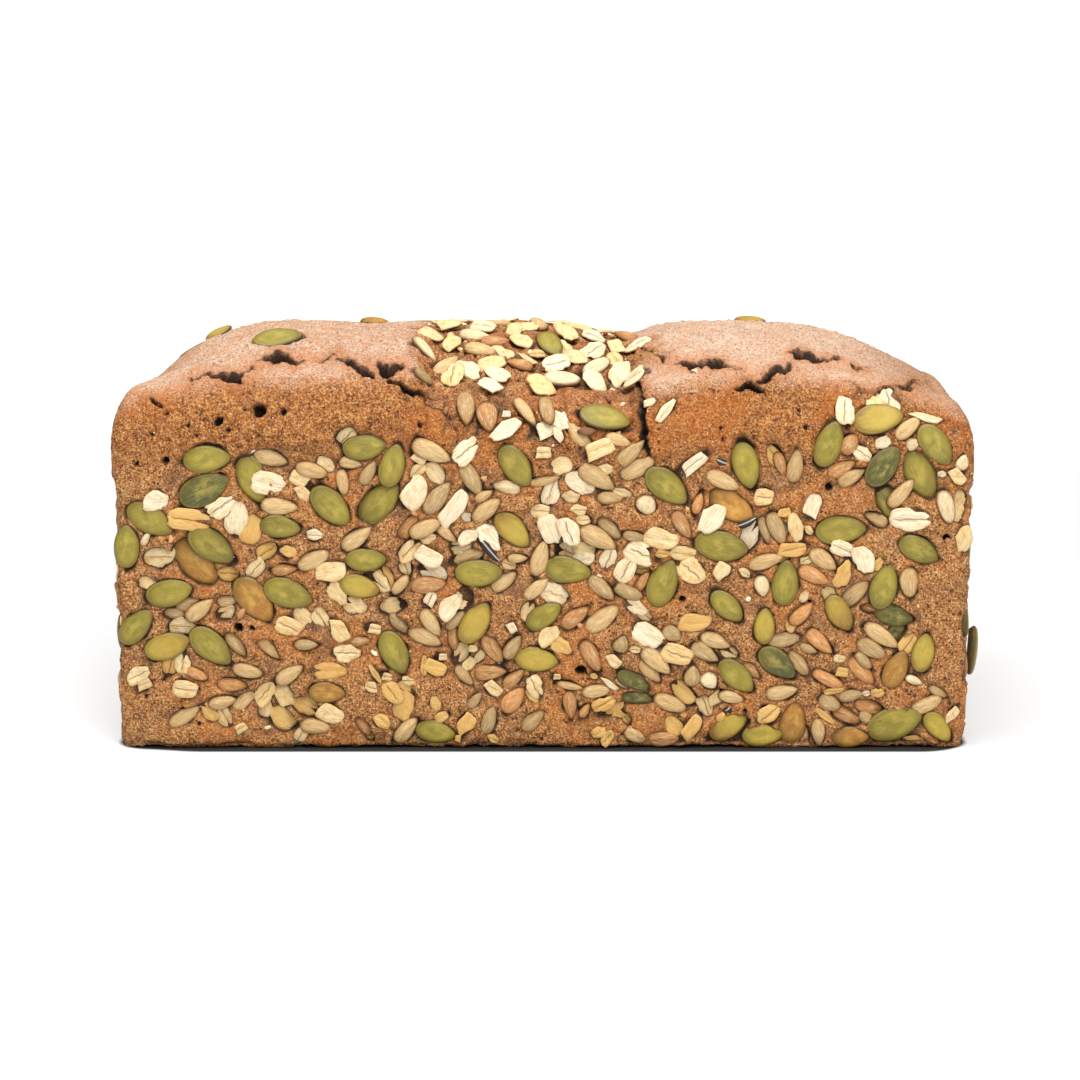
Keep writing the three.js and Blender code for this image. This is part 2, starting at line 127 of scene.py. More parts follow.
FRONT_KERNELS = {
    "pale": [
        (-115.5, 63, 60, 5), (108.5, 91.5, 30, 5, 3.6), (105.6, 82.8, 55, 6.5), (31, 73.3, -60, 6.2, 5.6),
        (50.2, 20.6, -50, 5.6, 5), (118.7, 72.7, -75, 10), (123.2, 86, 70, 5, 4), (110.6, 20.7, -22, 5.5),
        (65.2, 49.1, -80, 6.5, 4.5),
    ],
    "tan": [
        (-78.5, 87, -14, 11), (-66.5, 83.5, -15, 9.5), (-55, 85.5, -8, 7.5), (-57.5, 80, -80, 7.5),
        (-76, 73, -5, 11), (-53.5, 63.5, 36, 10.5), (-66.5, 57, 27, 10.5), (-100, 42, 38, 10),
        (-92, 44.5, 8, 7.5), (-80, 30, -45, 9, 4.2, 1), (-89.5, 31, -52, 9.5, 4.4, 1),
        (-86.5, 23.5, -12, 9), (-74, 22.5, 33, 9.5), (-94, 14, 12, 8.5), (-87.5, 14.5, 42, 9),
        (-105.5, 9.5, 32, 11, 4.6, 1), (-66.5, 6.5, -5, 9.5), (-31.5, 89, -24, 12), (-16.5, 76, 30, 6),
        (-15.5, 72, 40, 10.5), (-33.5, 66.5, 25, 10), (-27, 64.5, -40, 7), (-21.5, 57.5, 18, 11),
        (-41, 49.5, 50, 7), (-10.5, 50.5, 35, 9.5), (0, 57.5, 74, 11), (-1, 48.5, 40, 9),
        (17, 63.5, -30, 12), (1.5, 80.5, 12, 9.5, 3), (-6.5, 57.5, 0, 6), (-32, 37.8, -56, 9.5),
        (-33.6, 33.4, -24, 11), (-39.8, 5, 50, 9.8), (28.3, 84.1, 30, 11.5), (22.8, 92.8, -15, 8),
        (53.3, 80.7, -25, 10.8, 5, -1), (66, 56.6, 16, 11, 4.6, -1), (18.3, 39.4, 38, 12),
        (34.5, 26.5, -42, 11), (32.6, 23.3, -50, 9.8), (51.9, 32.6, -20, 9.5), (16.7, 17.4, 8, 8.5),
        (8.9, 19, -12, 8, 2.4), (38.6, 13.6, -24, 10), (28.3, 3, -30, 7, 4.4), (56.6, 15.5, -12, 7.5),
        (71.6, 17, 12, 9.8), (76.5, 25.5, -55, 9.8), (100.6, 34.1, -34, 11.8, 5, -1), (82.5, 4.9, -85, 8.6),
        (114.4, 13.3, 24, 9.8), (118, 17, -32, 7, 3), (105.6, 76.9, 47, 10.5, 4.6, -1),
        (92.3, 46.2, 48, 12, 5.8), (108.3, 50.2, -85, 9.2, 5.4), (83.1, 57, -35, 9.5, 5.2),
        (107.7, 9.3, 0, 8, 1.6),
    ],
    "grey": [
        (-50, 83, 60, 8), (-103.5, 43.5, 20, 8), (-107.5, 40.5, -5, 7), (-69, 31.5, 0, 7),
        (-20, 81, -62, 11), (-30, 75.5, 52, 11.5), (18, 48.5, -45, 10), (16.5, 81.5, -32, 12),
        (20.5, 75.5, 0, 8), (20.5, 66, -45, 9), (-41.2, 37.1, -45, 9, 4.2, 0.9),
        (-25.1, 38.5, 45, 8, 3.6, 0.8), (-8.1, 30.8, 58, 8.5), (-22.4, 21.8, -48, 7.5, 3.6, 1.1),
        (-15, 8.6, 72, 9), (-2.1, 8.4, 42, 9, 4.6, 0.6), (-19.5, 14.2, 50, 7, 3.4, 0.8), (26.5, 89, 42, 10),
        (69.3, 66.3, -68, 10), (65.8, 65.9, -75, 9, 3.2, 0.9), (27.5, 64, -10, 6.5), (25.9, 47.2, -22, 9),
        (24, 31.8, 70, 5.6, 4.8), (39, 34.7, -35, 6.2, 4.8), (48.8, 28.8, -32, 9.2, 4.9),
        (45.1, 22, 85, 6.4, 5), (72.7, 32.9, 8, 11, 4.9), (79.2, 30.1, -25, 5.5),
        (97.7, 30.1, -30, 9.6, 4.9), (95.5, 26.7, -45, 6.5), (92.1, 16, 12, 7.5), (85.6, 13.7, -25, 7, 4.8),
        (97.5, 8.4, -40, 7, 3.6, 1.2), (74.3, 85, 80, 9.8), (91, 81.6, 30, 9),
    ],
    "toasted": [
        (-75, 54, 5, 7.5), (-53, 32.5, 10, 6), (-38.5, 66.5, 50, 9.5), (-33, 49.5, 5, 10.5),
        (10.3, 39.8, 38, 10), (-25.8, 32.9, -85, 7.5), (-13.9, 29.9, -57, 9.8), (-14.6, 23, 5, 9.5, 5),
        (-7.9, 21.1, 42, 8), (41.6, 67.4, -58, 9), (15, 28, -62, 10.3), (8.9, 13.1, -85, 8.5),
        (36.5, 2.6, 2, 9.2, 4.6), (62.7, 23.3, -45, 7), (88, 84.1, 27, 9.5), (90, 91, 60, 6.5, 4.8),
        (70, 85.5, -75, 7), (78.5, 3.6, 80, 7, 3, 1.2), (-52.3, 6.1, -58, 7, 3.6, 1),
    ],
    "orange": [
        (-91, 19, -5, 9.5), (-101.5, 22.5, -25, 7), (-7.9, 14.7, 52, 9.5, 5.8), (30, 10.8, -42, 11, 5.8),
        (80.4, 52.1, -25, 9.8), (77, 40.9, 45, 9), (82.5, 32.2, -42, 9.8), (85.2, 20.9, -26, 10, 3.8),
        (95, 23.2, -45, 11, 4.8), (98.1, 12.1, -18, 10, 5), (90.5, 9.6, -26, 10.3, 5),
        (46.2, 73.9, 75, 6.5), (97, 42.2, -20, 6), (13.2, 11.4, 60, 5, 2.6), (29.8, 50.2, 55, 7.5),
    ],
}
FRONT_OATS = {
    "white": [
        (-79.3, 79.7, -15, 10, 7, -1), (-112, 74.6, 0, 7, 6, -1), (-93.1, 72.8, 35, 9, 5.5, -1),
        (-88.7, 69.5, 80, 10.5, 6.5, -1), (50.4, 69.9, 52, 10, 7, -1), (108.3, 69.1, 0, 12, 6.8, -1),
        (88.6, 60.4, -25, 7.5, 4.6, -1), (61.9, 64.6, 62, 10.5, 6), (-66, 64.5, 0, 5), (-21.5, 89, 40, 9),
        (-25, 73, 62, 13.5, 6), (-21, 69.5, 0, 5), (-36.5, 77, 62, 10), (-32, 58, -15, 9), (-21, 64, 20, 6),
        (-31.5, 53, -22, 9), (-32.5, 45, 60, 6), (-26.5, 43, 45, 8), (4.5, 46.5, -22, 9.5),
        (8.5, 65.5, -70, 8.5), (3, 66, -75, 9.5), (3, 77, 70, 8.5), (11.5, 79.5, -38, 9.5),
        (12.5, 57, 5, 7), (44.1, 85.2, 40, 11, 4.5), (30, 58.7, -25, 10.5, 6.8), (20, 57, 70, 7.5),
        (25.1, 54, 60, 8, 6), (27.7, 42.8, -25, 8.5, 5), (31.6, 34.3, -35, 9.5, 6.6),
        (79.2, 72.7, 70, 9.5, 5.6), (94.1, 88.3, -35, 6.5), (100, 91.7, 30, 6), (94.8, 57.2, -70, 8, 6),
        (20.8, 19.5, -36, 6.5, 1.8), (-8.4, 37.1, -60, 4.5), (96.6, 16.7, 10, 2.8), (117.1, 82.6, 0, 2.8),
        (86.3, 41.9, 80, 2.5),
    ],
    "cream": [
        (65.4, 75.8, -5, 5.8, 5, -1), (53.3, 54, 75, 6, 5, -1), (-69, 76.5, -30, 6), (-83.5, 54, 50, 7.5),
        (-112, 57.5, 0, 9.5), (-115.5, 50, -5, 6), (-92.5, 41, 25, 7), (-105.5, 36.5, -5, 8),
        (-61, 54, 15, 10), (-59.5, 47, -60, 8), (-55, 43.5, -20, 9), (-48, 50, -40, 9), (-74, 37, -25, 8),
        (-69.5, 39, -45, 9), (-64.5, 39.5, -60, 7), (-59, 35.5, -50, 8), (-49, 36.5, -10, 5),
        (-57, 29, 0, 8), (-105.5, 26, 80, 7), (-118.5, 22.5, 25, 7), (-117.5, 19.5, 20, 6),
        (-105, 18, -10, 8), (-81.5, 16.5, 50, 8), (-81.5, 12, 70, 7), (-62, 10.5, -20, 8),
        (-71, 3.7, 60, 6), (-89, 6, 30, 5), (-35.5, 87.5, -35, 6), (-35.5, 83.5, 45, 6),
        (-30.5, 82.5, -50, 8), (-33, 63.5, 10, 5), (-38, 60, 45, 9), (-23.5, 61, 10, 7),
        (-39.5, 54.5, -75, 6.5), (-22.5, 45.5, 65, 8), (-3.5, 42, 60, 7), (13, 60, -5, 7), (8, 59, -20, 8),
        (20, 56.5, 80, 8), (0, 71.5, -5, 6), (9, 75.5, -10, 6), (11.5, 72, 0, 5), (12.5, 69, 0, 5),
        (6, 85, 10, 8), (16.3, 89.6, 24, 11.5, 6), (19.5, 84, 0, 5), (0.5, 89, 0, 6), (-9, 55.5, -20, 5),
        (-43.4, 42.9, 10, 8.5), (-20.9, 25.3, 60, 5.5), (-17.7, 27.8, 70, 4.5), (-19.7, 30.4, 0, 3),
        (-38.9, 20.7, 0, 4), (-13.3, 18.3, -30, 6), (-1.4, 18.8, -65, 7), (4.8, 22, 0, 3),
        (2.6, 34.3, 35, 7), (24.3, 77.1, -18, 6, 2.6), (35.3, 63.3, -15, 10, 6), (44.5, 53.6, -40, 8.5, 7),
        (42.5, 58.7, -10, 9, 4.5), (31, 40, -30, 5), (60.1, 53.2, -30, 4), (21.8, 26.5, -30, 5.5),
        (22.4, 24.5, -12, 6), (40.6, 28.6, -18, 9.5, 6), (56, 29, -25, 6.5), (24.2, 19.5, -36, 7, 2.4),
        (10.7, 15.9, -40, 4.8, 1.8), (28.1, 30.1, -5, 3.3), (52.3, 15, 60, 6), (49.2, 12.5, -70, 7),
        (74.9, 66.5, -75, 9, 4.6), (78.6, 65.9, -45, 3.5), (70.4, 65.5, -75, 7), (78.2, 57, 25, 4),
        (85.1, 46.6, -50, 6.5), (77.6, 46.4, 60, 4), (122, 81.8, -35, 6), (117.3, 80.3, 60, 3.5),
        (121.6, 71.4, -65, 8), (123.6, 73.9, -75, 8), (124.4, 63.8, 85, 8), (119.6, 4, 80, 6, 2),
        (88.3, 27.4, -15, 3.5), (122.2, 10.5, 58, 6, 3), (-28.9, 28, 0, 3.5), (-45.4, 22, -10, 4.3, 2.8),
        (-49.6, 18.5, -20, 5),
    ],
    "golden": [
        (-102.5, 69, -10, 13, 6.5, -1), (-84.5, 66, 75, 10), (-80, 59.5, 35, 7), (-73.5, 59.5, -10, 5.5),
        (-91.5, 52.5, -3, 7), (-62.5, 23.5, 0, 11, 6, 0.7), (-76.5, 8.5, -30, 10), (-98, 11, -50, 7),
        (-46.5, 8.3, -40, 6), (-49, 18, 0, 6), (-45.5, 51.5, -60, 8), (-42, 46, -30, 9),
        (-30.5, 24.8, -10, 7.5), (-34.2, 25.3, 85, 6, 2), (-43.6, 17, -55, 7.5), (-40.3, 17.7, -25, 7),
        (-30.7, 13.5, -75, 4.8), (-29.1, 9.6, 30, 4.5), (-21.7, 7.7, 65, 7.5), (-24.4, 2.8, 80, 3),
        (-13.9, 16, -20, 6), (-2.3, 15.8, -48, 5.5, 2.4), (6.2, 31.3, -35, 7), (-48.5, 22.5, -58, 7, 1.8),
        (-13.7, 2.8, -30, 4), (-50.5, 3.2, -40, 4), (-3.7, 40.3, 35, 6.5), (68.9, 86.9, -55, 8.6, 5),
        (71.5, 71.2, 30, 4.5), (35.9, 58.9, -10, 4), (29.8, 53.8, 5, 6), (45.5, 38.3, 5, 9.5, 5.4),
        (32.2, 39.2, -20, 5), (42.7, 16.7, -42, 10.5, 5.4), (18.9, 13.6, 27, 7.3, 4),
        (21.2, 11.6, 26, 9, 3.4), (23.4, 10, -20, 3.5), (25.7, 8.5, -60, 4.5), (17.5, 4.8, 20, 5),
        (20, 3, 50, 5), (25, 2.6, 20, 4.5), (45.1, 7, 65, 9, 4.8), (53.5, 9.5, 60, 3.5),
        (15.9, 22, -10, 2.5), (74.3, 60.4, 12, 9, 4.8), (99, 55.7, 50, 4), (88.8, 52.7, 70, 8.5, 4.4),
        (101.5, 79, 0, 4), (70.8, 57.4, 20, 6), (75.1, 39.8, 58, 9, 4.4), (95.7, 42.2, -10, 4.5),
        (67.8, 10.5, 40, 8, 6), (88.8, 23.4, -10, 5), (86.7, 17.4, 5, 6, 1.8), (99.9, 17, 15, 4),
        (84.3, 9.8, -38, 8, 2), (111.1, 2, 5, 8, 3), (72, 71.4, 30, 4.5),
    ],
}
# Scraps of hull: x, z, turn, length and tone, which is dark and striped at 0.95 and brown at 0.
FRONT_HULLS = [
    (52.9, 86, -20, 4.5, 0.95), (60.3, 68, 28, 7, 0.95), (-15, 60, -52, 10.5, 0.95),
    (13.9, 95.3, 8, 6.5, 0), (55.8, 11.9, 40, 2.4, 0.95),
]

# Seeds on the seeded strip that runs over the top, placed as seen from the eye.
TOP_PUMPKINS = {
    "green": [(2.9, 120.5, -65, 12), (-75.6, 122.4, 8, 15)],
    "olive": [(-92.5, 125.9, 20, 9, 7), (60.4, 129, 5, 10)],
    "brown": [(-47.5, 129.8, 0, 9)],
}
TOP_KERNELS = {
    "tan": [(-27.1, 114.2, 45, 10), (-17.2, 119, -18, 10), (-4.2, 101.8, -55, 10.5, 3.5)],
    "grey": [(-33, 109.6, 50, 10), (-16.3, 126.2, -5, 9), (-21.4, 102.5, -85, 11), (2, 101.8, -75, 9)],
    "toasted": [(-15.2, 100, -80, 9, 6)],
    "pale": [
        (-33, 118.1, -20, 10), (-18.7, 123.2, -15, 10), (6.4, 110.8, 10, 11, 5.5), (16.2, 114, 50, 10),
    ],
}
TOP_OATS = {
    "white": [
        (4.4, 126.8, 0, 6), (23.3, 112, 75, 11, 7), (15.5, 118.7, 60, 9), (15.5, 122.9, -10, 8),
        (5.3, 100, -55, 9, 5.5), (5.3, 94.2, -60, 5, 3), (-9.6, 96, 35, 10, 5), (-10, 100.3, 0, 3.5),
        (36.5, 101.3, 45, 9, 3), (31.9, 103.1, 0, 4), (44.6, 112.3, -50, 3), (112.3, 99.4, -5, 10, 2.5),
    ],
    "cream": [
        (-31.5, 122.6, -15, 8), (-25.4, 120.5, 80, 8), (-27.1, 126.4, -10, 8), (-22.8, 128.7, 0, 8),
        (-13.7, 114.5, 25, 9), (-10.8, 118.7, 0, 8), (-7.6, 124.4, 90, 8), (-5, 121.1, -35, 8),
        (-3.5, 115.7, -40, 8, 2), (10.2, 116.4, 0, 8), (7.6, 123.5, -50, 8), (11.1, 125.6, 0, 8),
        (-4.4, 127.7, 0, 8), (19.8, 125.6, 0, 8), (-0.6, 117.5, 0, 5), (-25.1, 111.4, 80, 9),
    ],
}

# Patches of the front that are bare of seeds: x, z, half width, half height and turn.
FRONT_BARE = [
    (27, 70, 12, 3, -12), (-44, 66, 3, 10, 35), (12, 46, 7, 4, -10), (-10, 40, 4, 7, -10),
    (-29, 15, 9, 6, 15), (18, 30, 9, 7, -20), (9, 25, 5, 7, 0), (44, 43, 13, 4, 8), (62, 33, 8, 7, 0),
    (83, 74, 15, 5, -8), (100, 62, 4, 9, -35), (116, 45, 4, 11, 0), (117, 27, 3, 14, 0),
    (119, 45, 6, 11, 0), (121, 27, 5, 14, 0), (110, 15, 6, 4, 0), (79, 16, 4, 7, 0), (89, 31, 5, 4, 0),
    (63, 13, 5, 7, 20), (-84, 33, 12, 5, -15), (-115, 18, 9, 9, 0), (-103, 5, 15, 4, 0), (-55, 21, 4, 8, 0),
    (-2, 8, 10, 6, 0), (-13, 82, 2, 9, 20), (-5, 74, 7, 2, 8), (-4, 51, 3, 4, 0), (-121, 48, 3, 7, 0),
    (-70, 53, 3, 3, 0), (-53, 10, 6, 5, 0), (5, 29, 4, 7, 0), (-31, 97.5, 9, 6.5, 0),
]
# Lower border of the bare band along the front's shoulder: x and z.
BARE_BORDER = [
    (-126, 74), (-114, 78.5), (-103.5, 88.5), (-84.5, 90.6), (-61, 90), (-57, 93), (-35, 97.5), (-30, 130),
    (29, 130), (31, 86), (46.5, 87.6), (57, 90.9), (73, 88.5), (81.5, 85.5), (84, 96), (93.5, 105),
    (105, 105.7), (122.5, 97.5),
]
# Gas holes that show in the dough: x, z and radius.
HOLES = [
    (-81.4, 101.2, 2.1), (-93.3, 98.2, 1.5), (-74.4, 100.9, 1.0), (-102.1, 96.9, 0.7), (-108.8, 86.7, 1.2),
    (-117.3, 85.8, 0.8), (-90.4, 95.4, 0.7), (-85.5, 101.5, 0.7), (12, 23.9, 1.6), (60.7, 11.2, 0.9),
    (-88.7, 36.8, 1.4), (-84.6, 36.5, 0.9), (41.7, 45.3, 1.2), (84.3, 78.5, 1.3), (119, 63.4, 1.4),
    (79.3, 44.7, 0.7), (-100.9, 7.6, 0.7), (-116.4, 16, 0.7), (-112.6, 94.2, 0.6), (-99.6, 94, 0.6),
    (-81.8, 93.6, 0.6), (-108.2, 100.6, 0.6), (-34.8, 96.8, 0.8), (75, 101.2, 0.6), (77, 96.6, 0.8),
    (52.5, 96, 0.6), (53, 92.7, 0.6), (-111, 21, 0.7), (-106, 12, 0.6),
]
# Tears where the top crust parted from the front: x, z and the gap's width.
CRACKS = [
    [(-100.9, 111.1, 0.6), (-97.7, 112.3, 0.8), (-94.5, 112, 1.6), (-91, 111.4, 3.0), (-87.5, 110.2, 3.2),
     (-85.8, 112.3, 1.2), (-83.1, 113.3, 1.8)],
    [(-81.4, 115.1, 0.8), (-78.2, 116.6, 2.8), (-74.7, 116.9, 3.8), (-71.2, 115.7, 1.8),
     (-68.8, 116.3, 0.8)],
    [(-63.6, 116.6, 1.1), (-59.5, 118.1, 0.8)],
    [(-57.8, 116.9, 1.6), (-54.8, 114.8, 2.4), (-51.6, 113.3, 2.2), (-48.7, 111.7, 1.4)],
    [(-47.3, 114.5, 2.2), (-44, 113, 3.2), (-40.8, 113.9, 2.0)],
    [(-43.2, 109.9, 1.1), (-41.4, 109.3, 1.3), (-39.4, 107.5, 1.6), (-36.5, 106, 1.3), (-32.7, 105.1, 0.6)],
    [(-113.2, 105.1, 0.9), (-111.4, 103.9, 1.3), (-109.7, 102.7, 0.7)],
    [(33.5, 84, 0.5), (31.5, 89, 1.0), (29.8, 96, 1.8), (29.2, 102, 2.2), (28.6, 107.5, 1.8),
     (27.5, 112, 1.0)],
    [(29.2, 119.9, 0.9), (32.1, 118.1, 1.2), (35.9, 116.6, 0.8)],
    [(38.5, 114.8, 1.0), (42, 114.5, 1.4), (46.4, 113.9, 2.0), (48.4, 114.8, 3.2), (50.5, 114.5, 3.4),
     (52.8, 114.5, 2.0), (54.8, 113.6, 0.9), (57.5, 113, 1.4)],
    [(63.3, 109.9, 1.0), (66.5, 111.7, 2.2), (70, 112.9, 2.8), (72.3, 114.2, 1.4)],
    [(57.2, 108.1, 1.3), (60.7, 108.4, 2.6), (63.9, 107.2, 1.4)],
    [(74.1, 118.4, 2.6), (76.4, 117.2, 3.6), (79.3, 116, 2.6), (82.3, 116, 2.2), (85.5, 116.6, 1.2)],
    [(91, 114.5, 1.5), (93.3, 113.9, 1.2)],
    [(103, 109.9, 1.2), (106.5, 109.6, 2.0), (108.5, 111.1, 1.6), (110.6, 112, 0.8)],
    [(101.8, 107.8, 2.0), (98.6, 106.9, 1.3), (96, 105.1, 2.0), (93.9, 102.4, 1.4)],
]

SIDES = ("front", "back", "left", "right", "top", "bottom")
KINDS = {
    "pumpkin": {"length": 14.2, "ratio": 0.577, "thick": 2.2},
    "kernel": {"length": 9.8, "ratio": 0.48, "thick": 2.3},
    "oat": {"length": 8.4, "ratio": 0.68, "thick": 0.8},
}
SPREAD = 0.18  # how much longer or shorter than its kind a seed by chance may be
# The solid's seeds by chance: pumpkin seeds, kernels and where the draw starts.
SOLID_SEEDS = {"back": (32, 26, 23), "left": (10, 10, 37), "right": (10, 10, 41)}
PACKING = 0.95  # they stay this share of their widths apart
TRIES = 80  # draws for each seed before its side counts as full
NEAREST = 2.6  # listed seeds of a kind are the same one when their middles are nearer than this
# More seeds by chance: pumpkin seeds, kernels, oats and where the draw starts. They may lie closer.
EXTRA_SEEDS = {
    "front": (0, 4, 16, 211),
    "back": (10, 96, 160, 223),
    "left": (6, 38, 64, 237),
    "right": (6, 38, 64, 241),
    "bottom": (34, 90, 110, 251),
    "top": (2, 12, 26, 253),
}
EXTRA_PACKING = {"pumpkin": 0.8, "kernel": 0.72, "oat": 0.62}
LOBE_PUMPKINS = [(-108, 14, 40), (-56, 38, 0)]  # on the left lobe: x, y and turn
# The seed that stands out of the right end.
END_PUMPKIN = {"y": -47.0, "z": 28.0, "turn": -84, "length": 15, "width": 8, "proud": 2.9}
# Upper border of the seeds on the back and the ends, with the heights and lengths of its waves.
SEED_LINE = {"height": 82, "waves": ((4, 17), (3, 7))}
# Bare patches by chance: how far apart, from what height and how much higher, half sizes with their
# least and how much more, and the range of turns.
PATCH = {"apart": 12, "low": 10, "rise": 60, "wide": (5, 7), "high": (3, 4), "turn": 40}
# How one seed sinks under another: the share of their widths at which they touch, the overlaps at which
# it begins to sink and is wholly under, and how far that is as a share of the other's thickness.
OVERLAP = {"touch": 0.92, "least": 0.15, "full": 1.6, "under": 0.75}
BURIED = 3.2  # a seed sunk this deep isn't seen
BED = 1.15  # how far the dough lies behind the tin's wall between the seeds
RECESS = 0.12  # how far the foremost seeds lie behind it

# Where each draw of numbers starts, so that every run makes the same loaf.
STARTS = {
    "bed": 11, "bare": 31, "bare top": 41, "fold": 53, "ragged": 71, "strip": 75, "gap": 91, "wander": 131,
    "opening": 147, "hole": 151, "crumble": 161, "foot": 171,
    "pumpkin": 61, "kernel": 62, "oat": 63, "crumb": 64,
}
SHAPE_STARTS = {"pumpkin": 500, "kernel": 600, "oat": 700, "crumb": 800, "hull": 900}
OUTLINE_START = 10  # the outlines' draws start this much later
PATCH_START = 100  # and those of the bare patches this much later than those of the side's seeds


def smoothstep(value, low, high):
    share = np.clip((value - low) / (high - low), 0.0, 1.0)
    return share * share * (3 - 2 * share)


def in_strip(x, beside=0.0):
    """1 on the seeded strip over the top, 0 beside it."""
    return 1 - smoothstep(np.abs(x - STRIP["x"]), STRIP["inner"], STRIP["outer"] + beside)


# ---------------------------------------------------------------- the skin
def top_height(x, y):
    ends = zip(END_DROP["left"], END_DROP["right"])
    start, most, power, kept = (np.where(x < 0, left, right) for left, right in ends)
    beyond = np.clip(np.abs(x) - start, 0, None) / (HALF_X - start)
    drop = most * beyond**power * (1 - kept * smoothstep(-y, *FRONT_EDGE))
    strip = STRIP["depth"] * in_strip(x) * smoothstep(-y, 0.0, STRIP["reach"])
    saddle = SADDLE["depth"] * np.exp(-(((x - SADDLE["x"]) / SADDLE["width"]) ** 2))
    lumps = LUMP["height"] * np.sin(x / LUMP["x"]) * np.cos(y / LUMP["y"])
    return CROWN - drop - SIDE_DROP * (y / HALF_Y) ** 2 - strip - saddle + lumps


def along_side(t, low, high, radius):
    """A place along a side from -1 to 1: the distance along it and back from it."""
    straight = (high - low) / 2 - radius
    distance = t * (high - low) / 2
    over = np.clip(np.abs(distance) - straight, 0, None)
    angle = over / radius * math.pi / 4
    reach = np.where(over > 0, straight + radius * np.sin(angle), np.abs(distance))
    return (low + high) / 2 + np.sign(distance) * reach, radius * (1 - np.cos(angle))


def outline_point(a, b, share, inset):
    """The walls' outline where they have leaned in by a share, in a direction of the unit square."""
    left = -HALF_X + LEAN["left"] * share + inset
    right = HALF_X - LEAN["right"] * share - inset
    front = -HALF_Y + LEAN["front"] * share + inset
    back = HALF_Y - LEAN["back"] * share - inset
    radius = CORNER + (CORNER_TOP - CORNER) * share
    long_x, long_in = along_side(a, left, right, radius)
    end_y, end_in = along_side(b, front, back, radius)
    on_long = np.abs(b) >= np.abs(a)
    x = np.where(on_long, long_x, np.where(a < 0, left + end_in, right - end_in))
    y = np.where(on_long, np.where(b < 0, front + long_in, back - long_in), end_y)
    return x, y


def wall_point(a, b, s):
    """A point of the wall at a distance up it. Above the shoulder it curves over to the top."""
    a, b, s = np.broadcast_arrays(np.asarray(a, float), np.asarray(b, float), np.asarray(s, float))
    angle = np.clip((s - SHOULDER) / SHOULDER_ARC, 0, math.pi / 2)
    x, y = outline_point(a, b, 1 - np.cos(angle), np.clip(FOOT - s, 0, None))
    rim = top_height(*outline_point(a, b, 1.0, 0.0))
    z = np.where(s <= SHOULDER, s, SHOULDER + (rim - SHOULDER) * np.sin(angle))
    return np.stack([x, y, z], axis=-1)


def skin_point(side, u, v):
    u, v = np.broadcast_arrays(np.asarray(u, float), np.asarray(v, float))
    if side == "top":
        return np.stack([u, v, top_height(u, v)], axis=-1)
    if side == "bottom":
        return np.stack([u, v, np.zeros_like(u)], axis=-1)
    if side in ("front", "back"):
        return wall_point(u / HALF_X, np.full_like(u, -1.0 if side == "front" else 1.0), v)
    return wall_point(np.full_like(u, -1.0 if side == "left" else 1.0), u / HALF_Y, v)


def unit(vectors):
    return vectors / np.linalg.norm(vectors, axis=-1, keepdims=True)


def place(side, u, v):
    """Points of the skin with the way along it and the way out of it."""
    step = 0.5
    along = unit(skin_point(side, u + step, v) - skin_point(side, u - step, v))
    up = unit(skin_point(side, u, v + step) - skin_point(side, u, v - step))
    out = unit(np.cross(along, up))
    if side in ("back", "left", "bottom"):
        out = -out
    return skin_point(side, u, v), along, out


def up_wall(side, u, z):
    """The distance up a wall to a height."""
    if z <= SHOULDER:
        return z
    rim = skin_point(side, u, WALL_TOP)[..., 2]
    return SHOULDER + SHOULDER_ARC * math.asin(min(1.0, (z - SHOULDER) / (rim - SHOULDER)))


def seen_place(x, z):
    """Side and place of what stands behind a point of the front wall's plane, as seen from the eye."""
    x += LIST_SHIFT
    if z <= SHOULDER:
        return "front", x, z
    ups = np.linspace(SHOULDER, WALL_TOP, 80)
    backs = np.linspace(-HALF_Y + LEAN["front"], HALF_Y - LEAN["back"], 160)
    for side, v in (("front", ups), ("top", backs)):
        points = skin_point(side, np.full_like(v, x), v)
        nearness = (-HALF_Y - EYE[1]) / (points[:, 1] - EYE[1])
        heights = EYE[2] + (points[:, 2] - EYE[2]) * nearness
        reached = np.nonzero(heights >= z)[0]
        if len(reached) or side == "top":
            n = reached[0] if len(reached) else int(np.argmax(heights))
            across = EYE[0] + (x - EYE[0]) / nearness[n]
            if side == "front":
                share = 1 - math.cos((v[n] - SHOULDER) / SHOULDER_ARC)
                middle = (LEAN["left"] - LEAN["right"]) / 2 * share
                half = HALF_X - (LEAN["left"] + LEAN["right"]) / 2 * share
                across = (across - middle) * HALF_X / half
            return side, across, float(v[n])


# ---------------------------------------------------------------- dough left bare
def seed_line(side, u):
    """The distance up a wall below which it is seeded."""
    if side != "front":
        return sum((high * np.sin(u / long) for high, long in SEED_LINE["waves"]), SEED_LINE["height"])
    xs, zs = np.array(BARE_BORDER).T
    return np.interp(np.asarray(u, float) - LIST_SHIFT, xs, zs)


def drawer(seed):
    """A repeatable stream of numbers from 0 to 1, the same as the solid's."""
    state = seed
    while True:
        state = (state * 1664525 + 1013904223) % 2**32
        yield state / 2**32


def patches_of(side):
    """Bare patches: the listed ones of the front, and those by chance of the back and the ends."""
    if side == "front":
        return [(x + LIST_SHIFT, *more) for x, *more in FRONT_BARE]
    if side not in SOLID_SEEDS:
        return []
    draw = drawer(SOLID_SEEDS[side][2] + PATCH_START)
    half = (HALF_X if side == "back" else HALF_Y) - PATCH["apart"]
    count = round(half / PATCH["apart"])
    rows = []
    for n in range(count):
        u = half * (2 * (n + next(draw)) / count - 1)
        v = PATCH["low"] + PATCH["rise"] * next(draw)
        sizes = [least + more * next(draw) for least, more in (PATCH["wide"], PATCH["high"])]
        rows.append((u, v, *sizes, PATCH["turn"] * (next(draw) - 0.5)))
    return rows


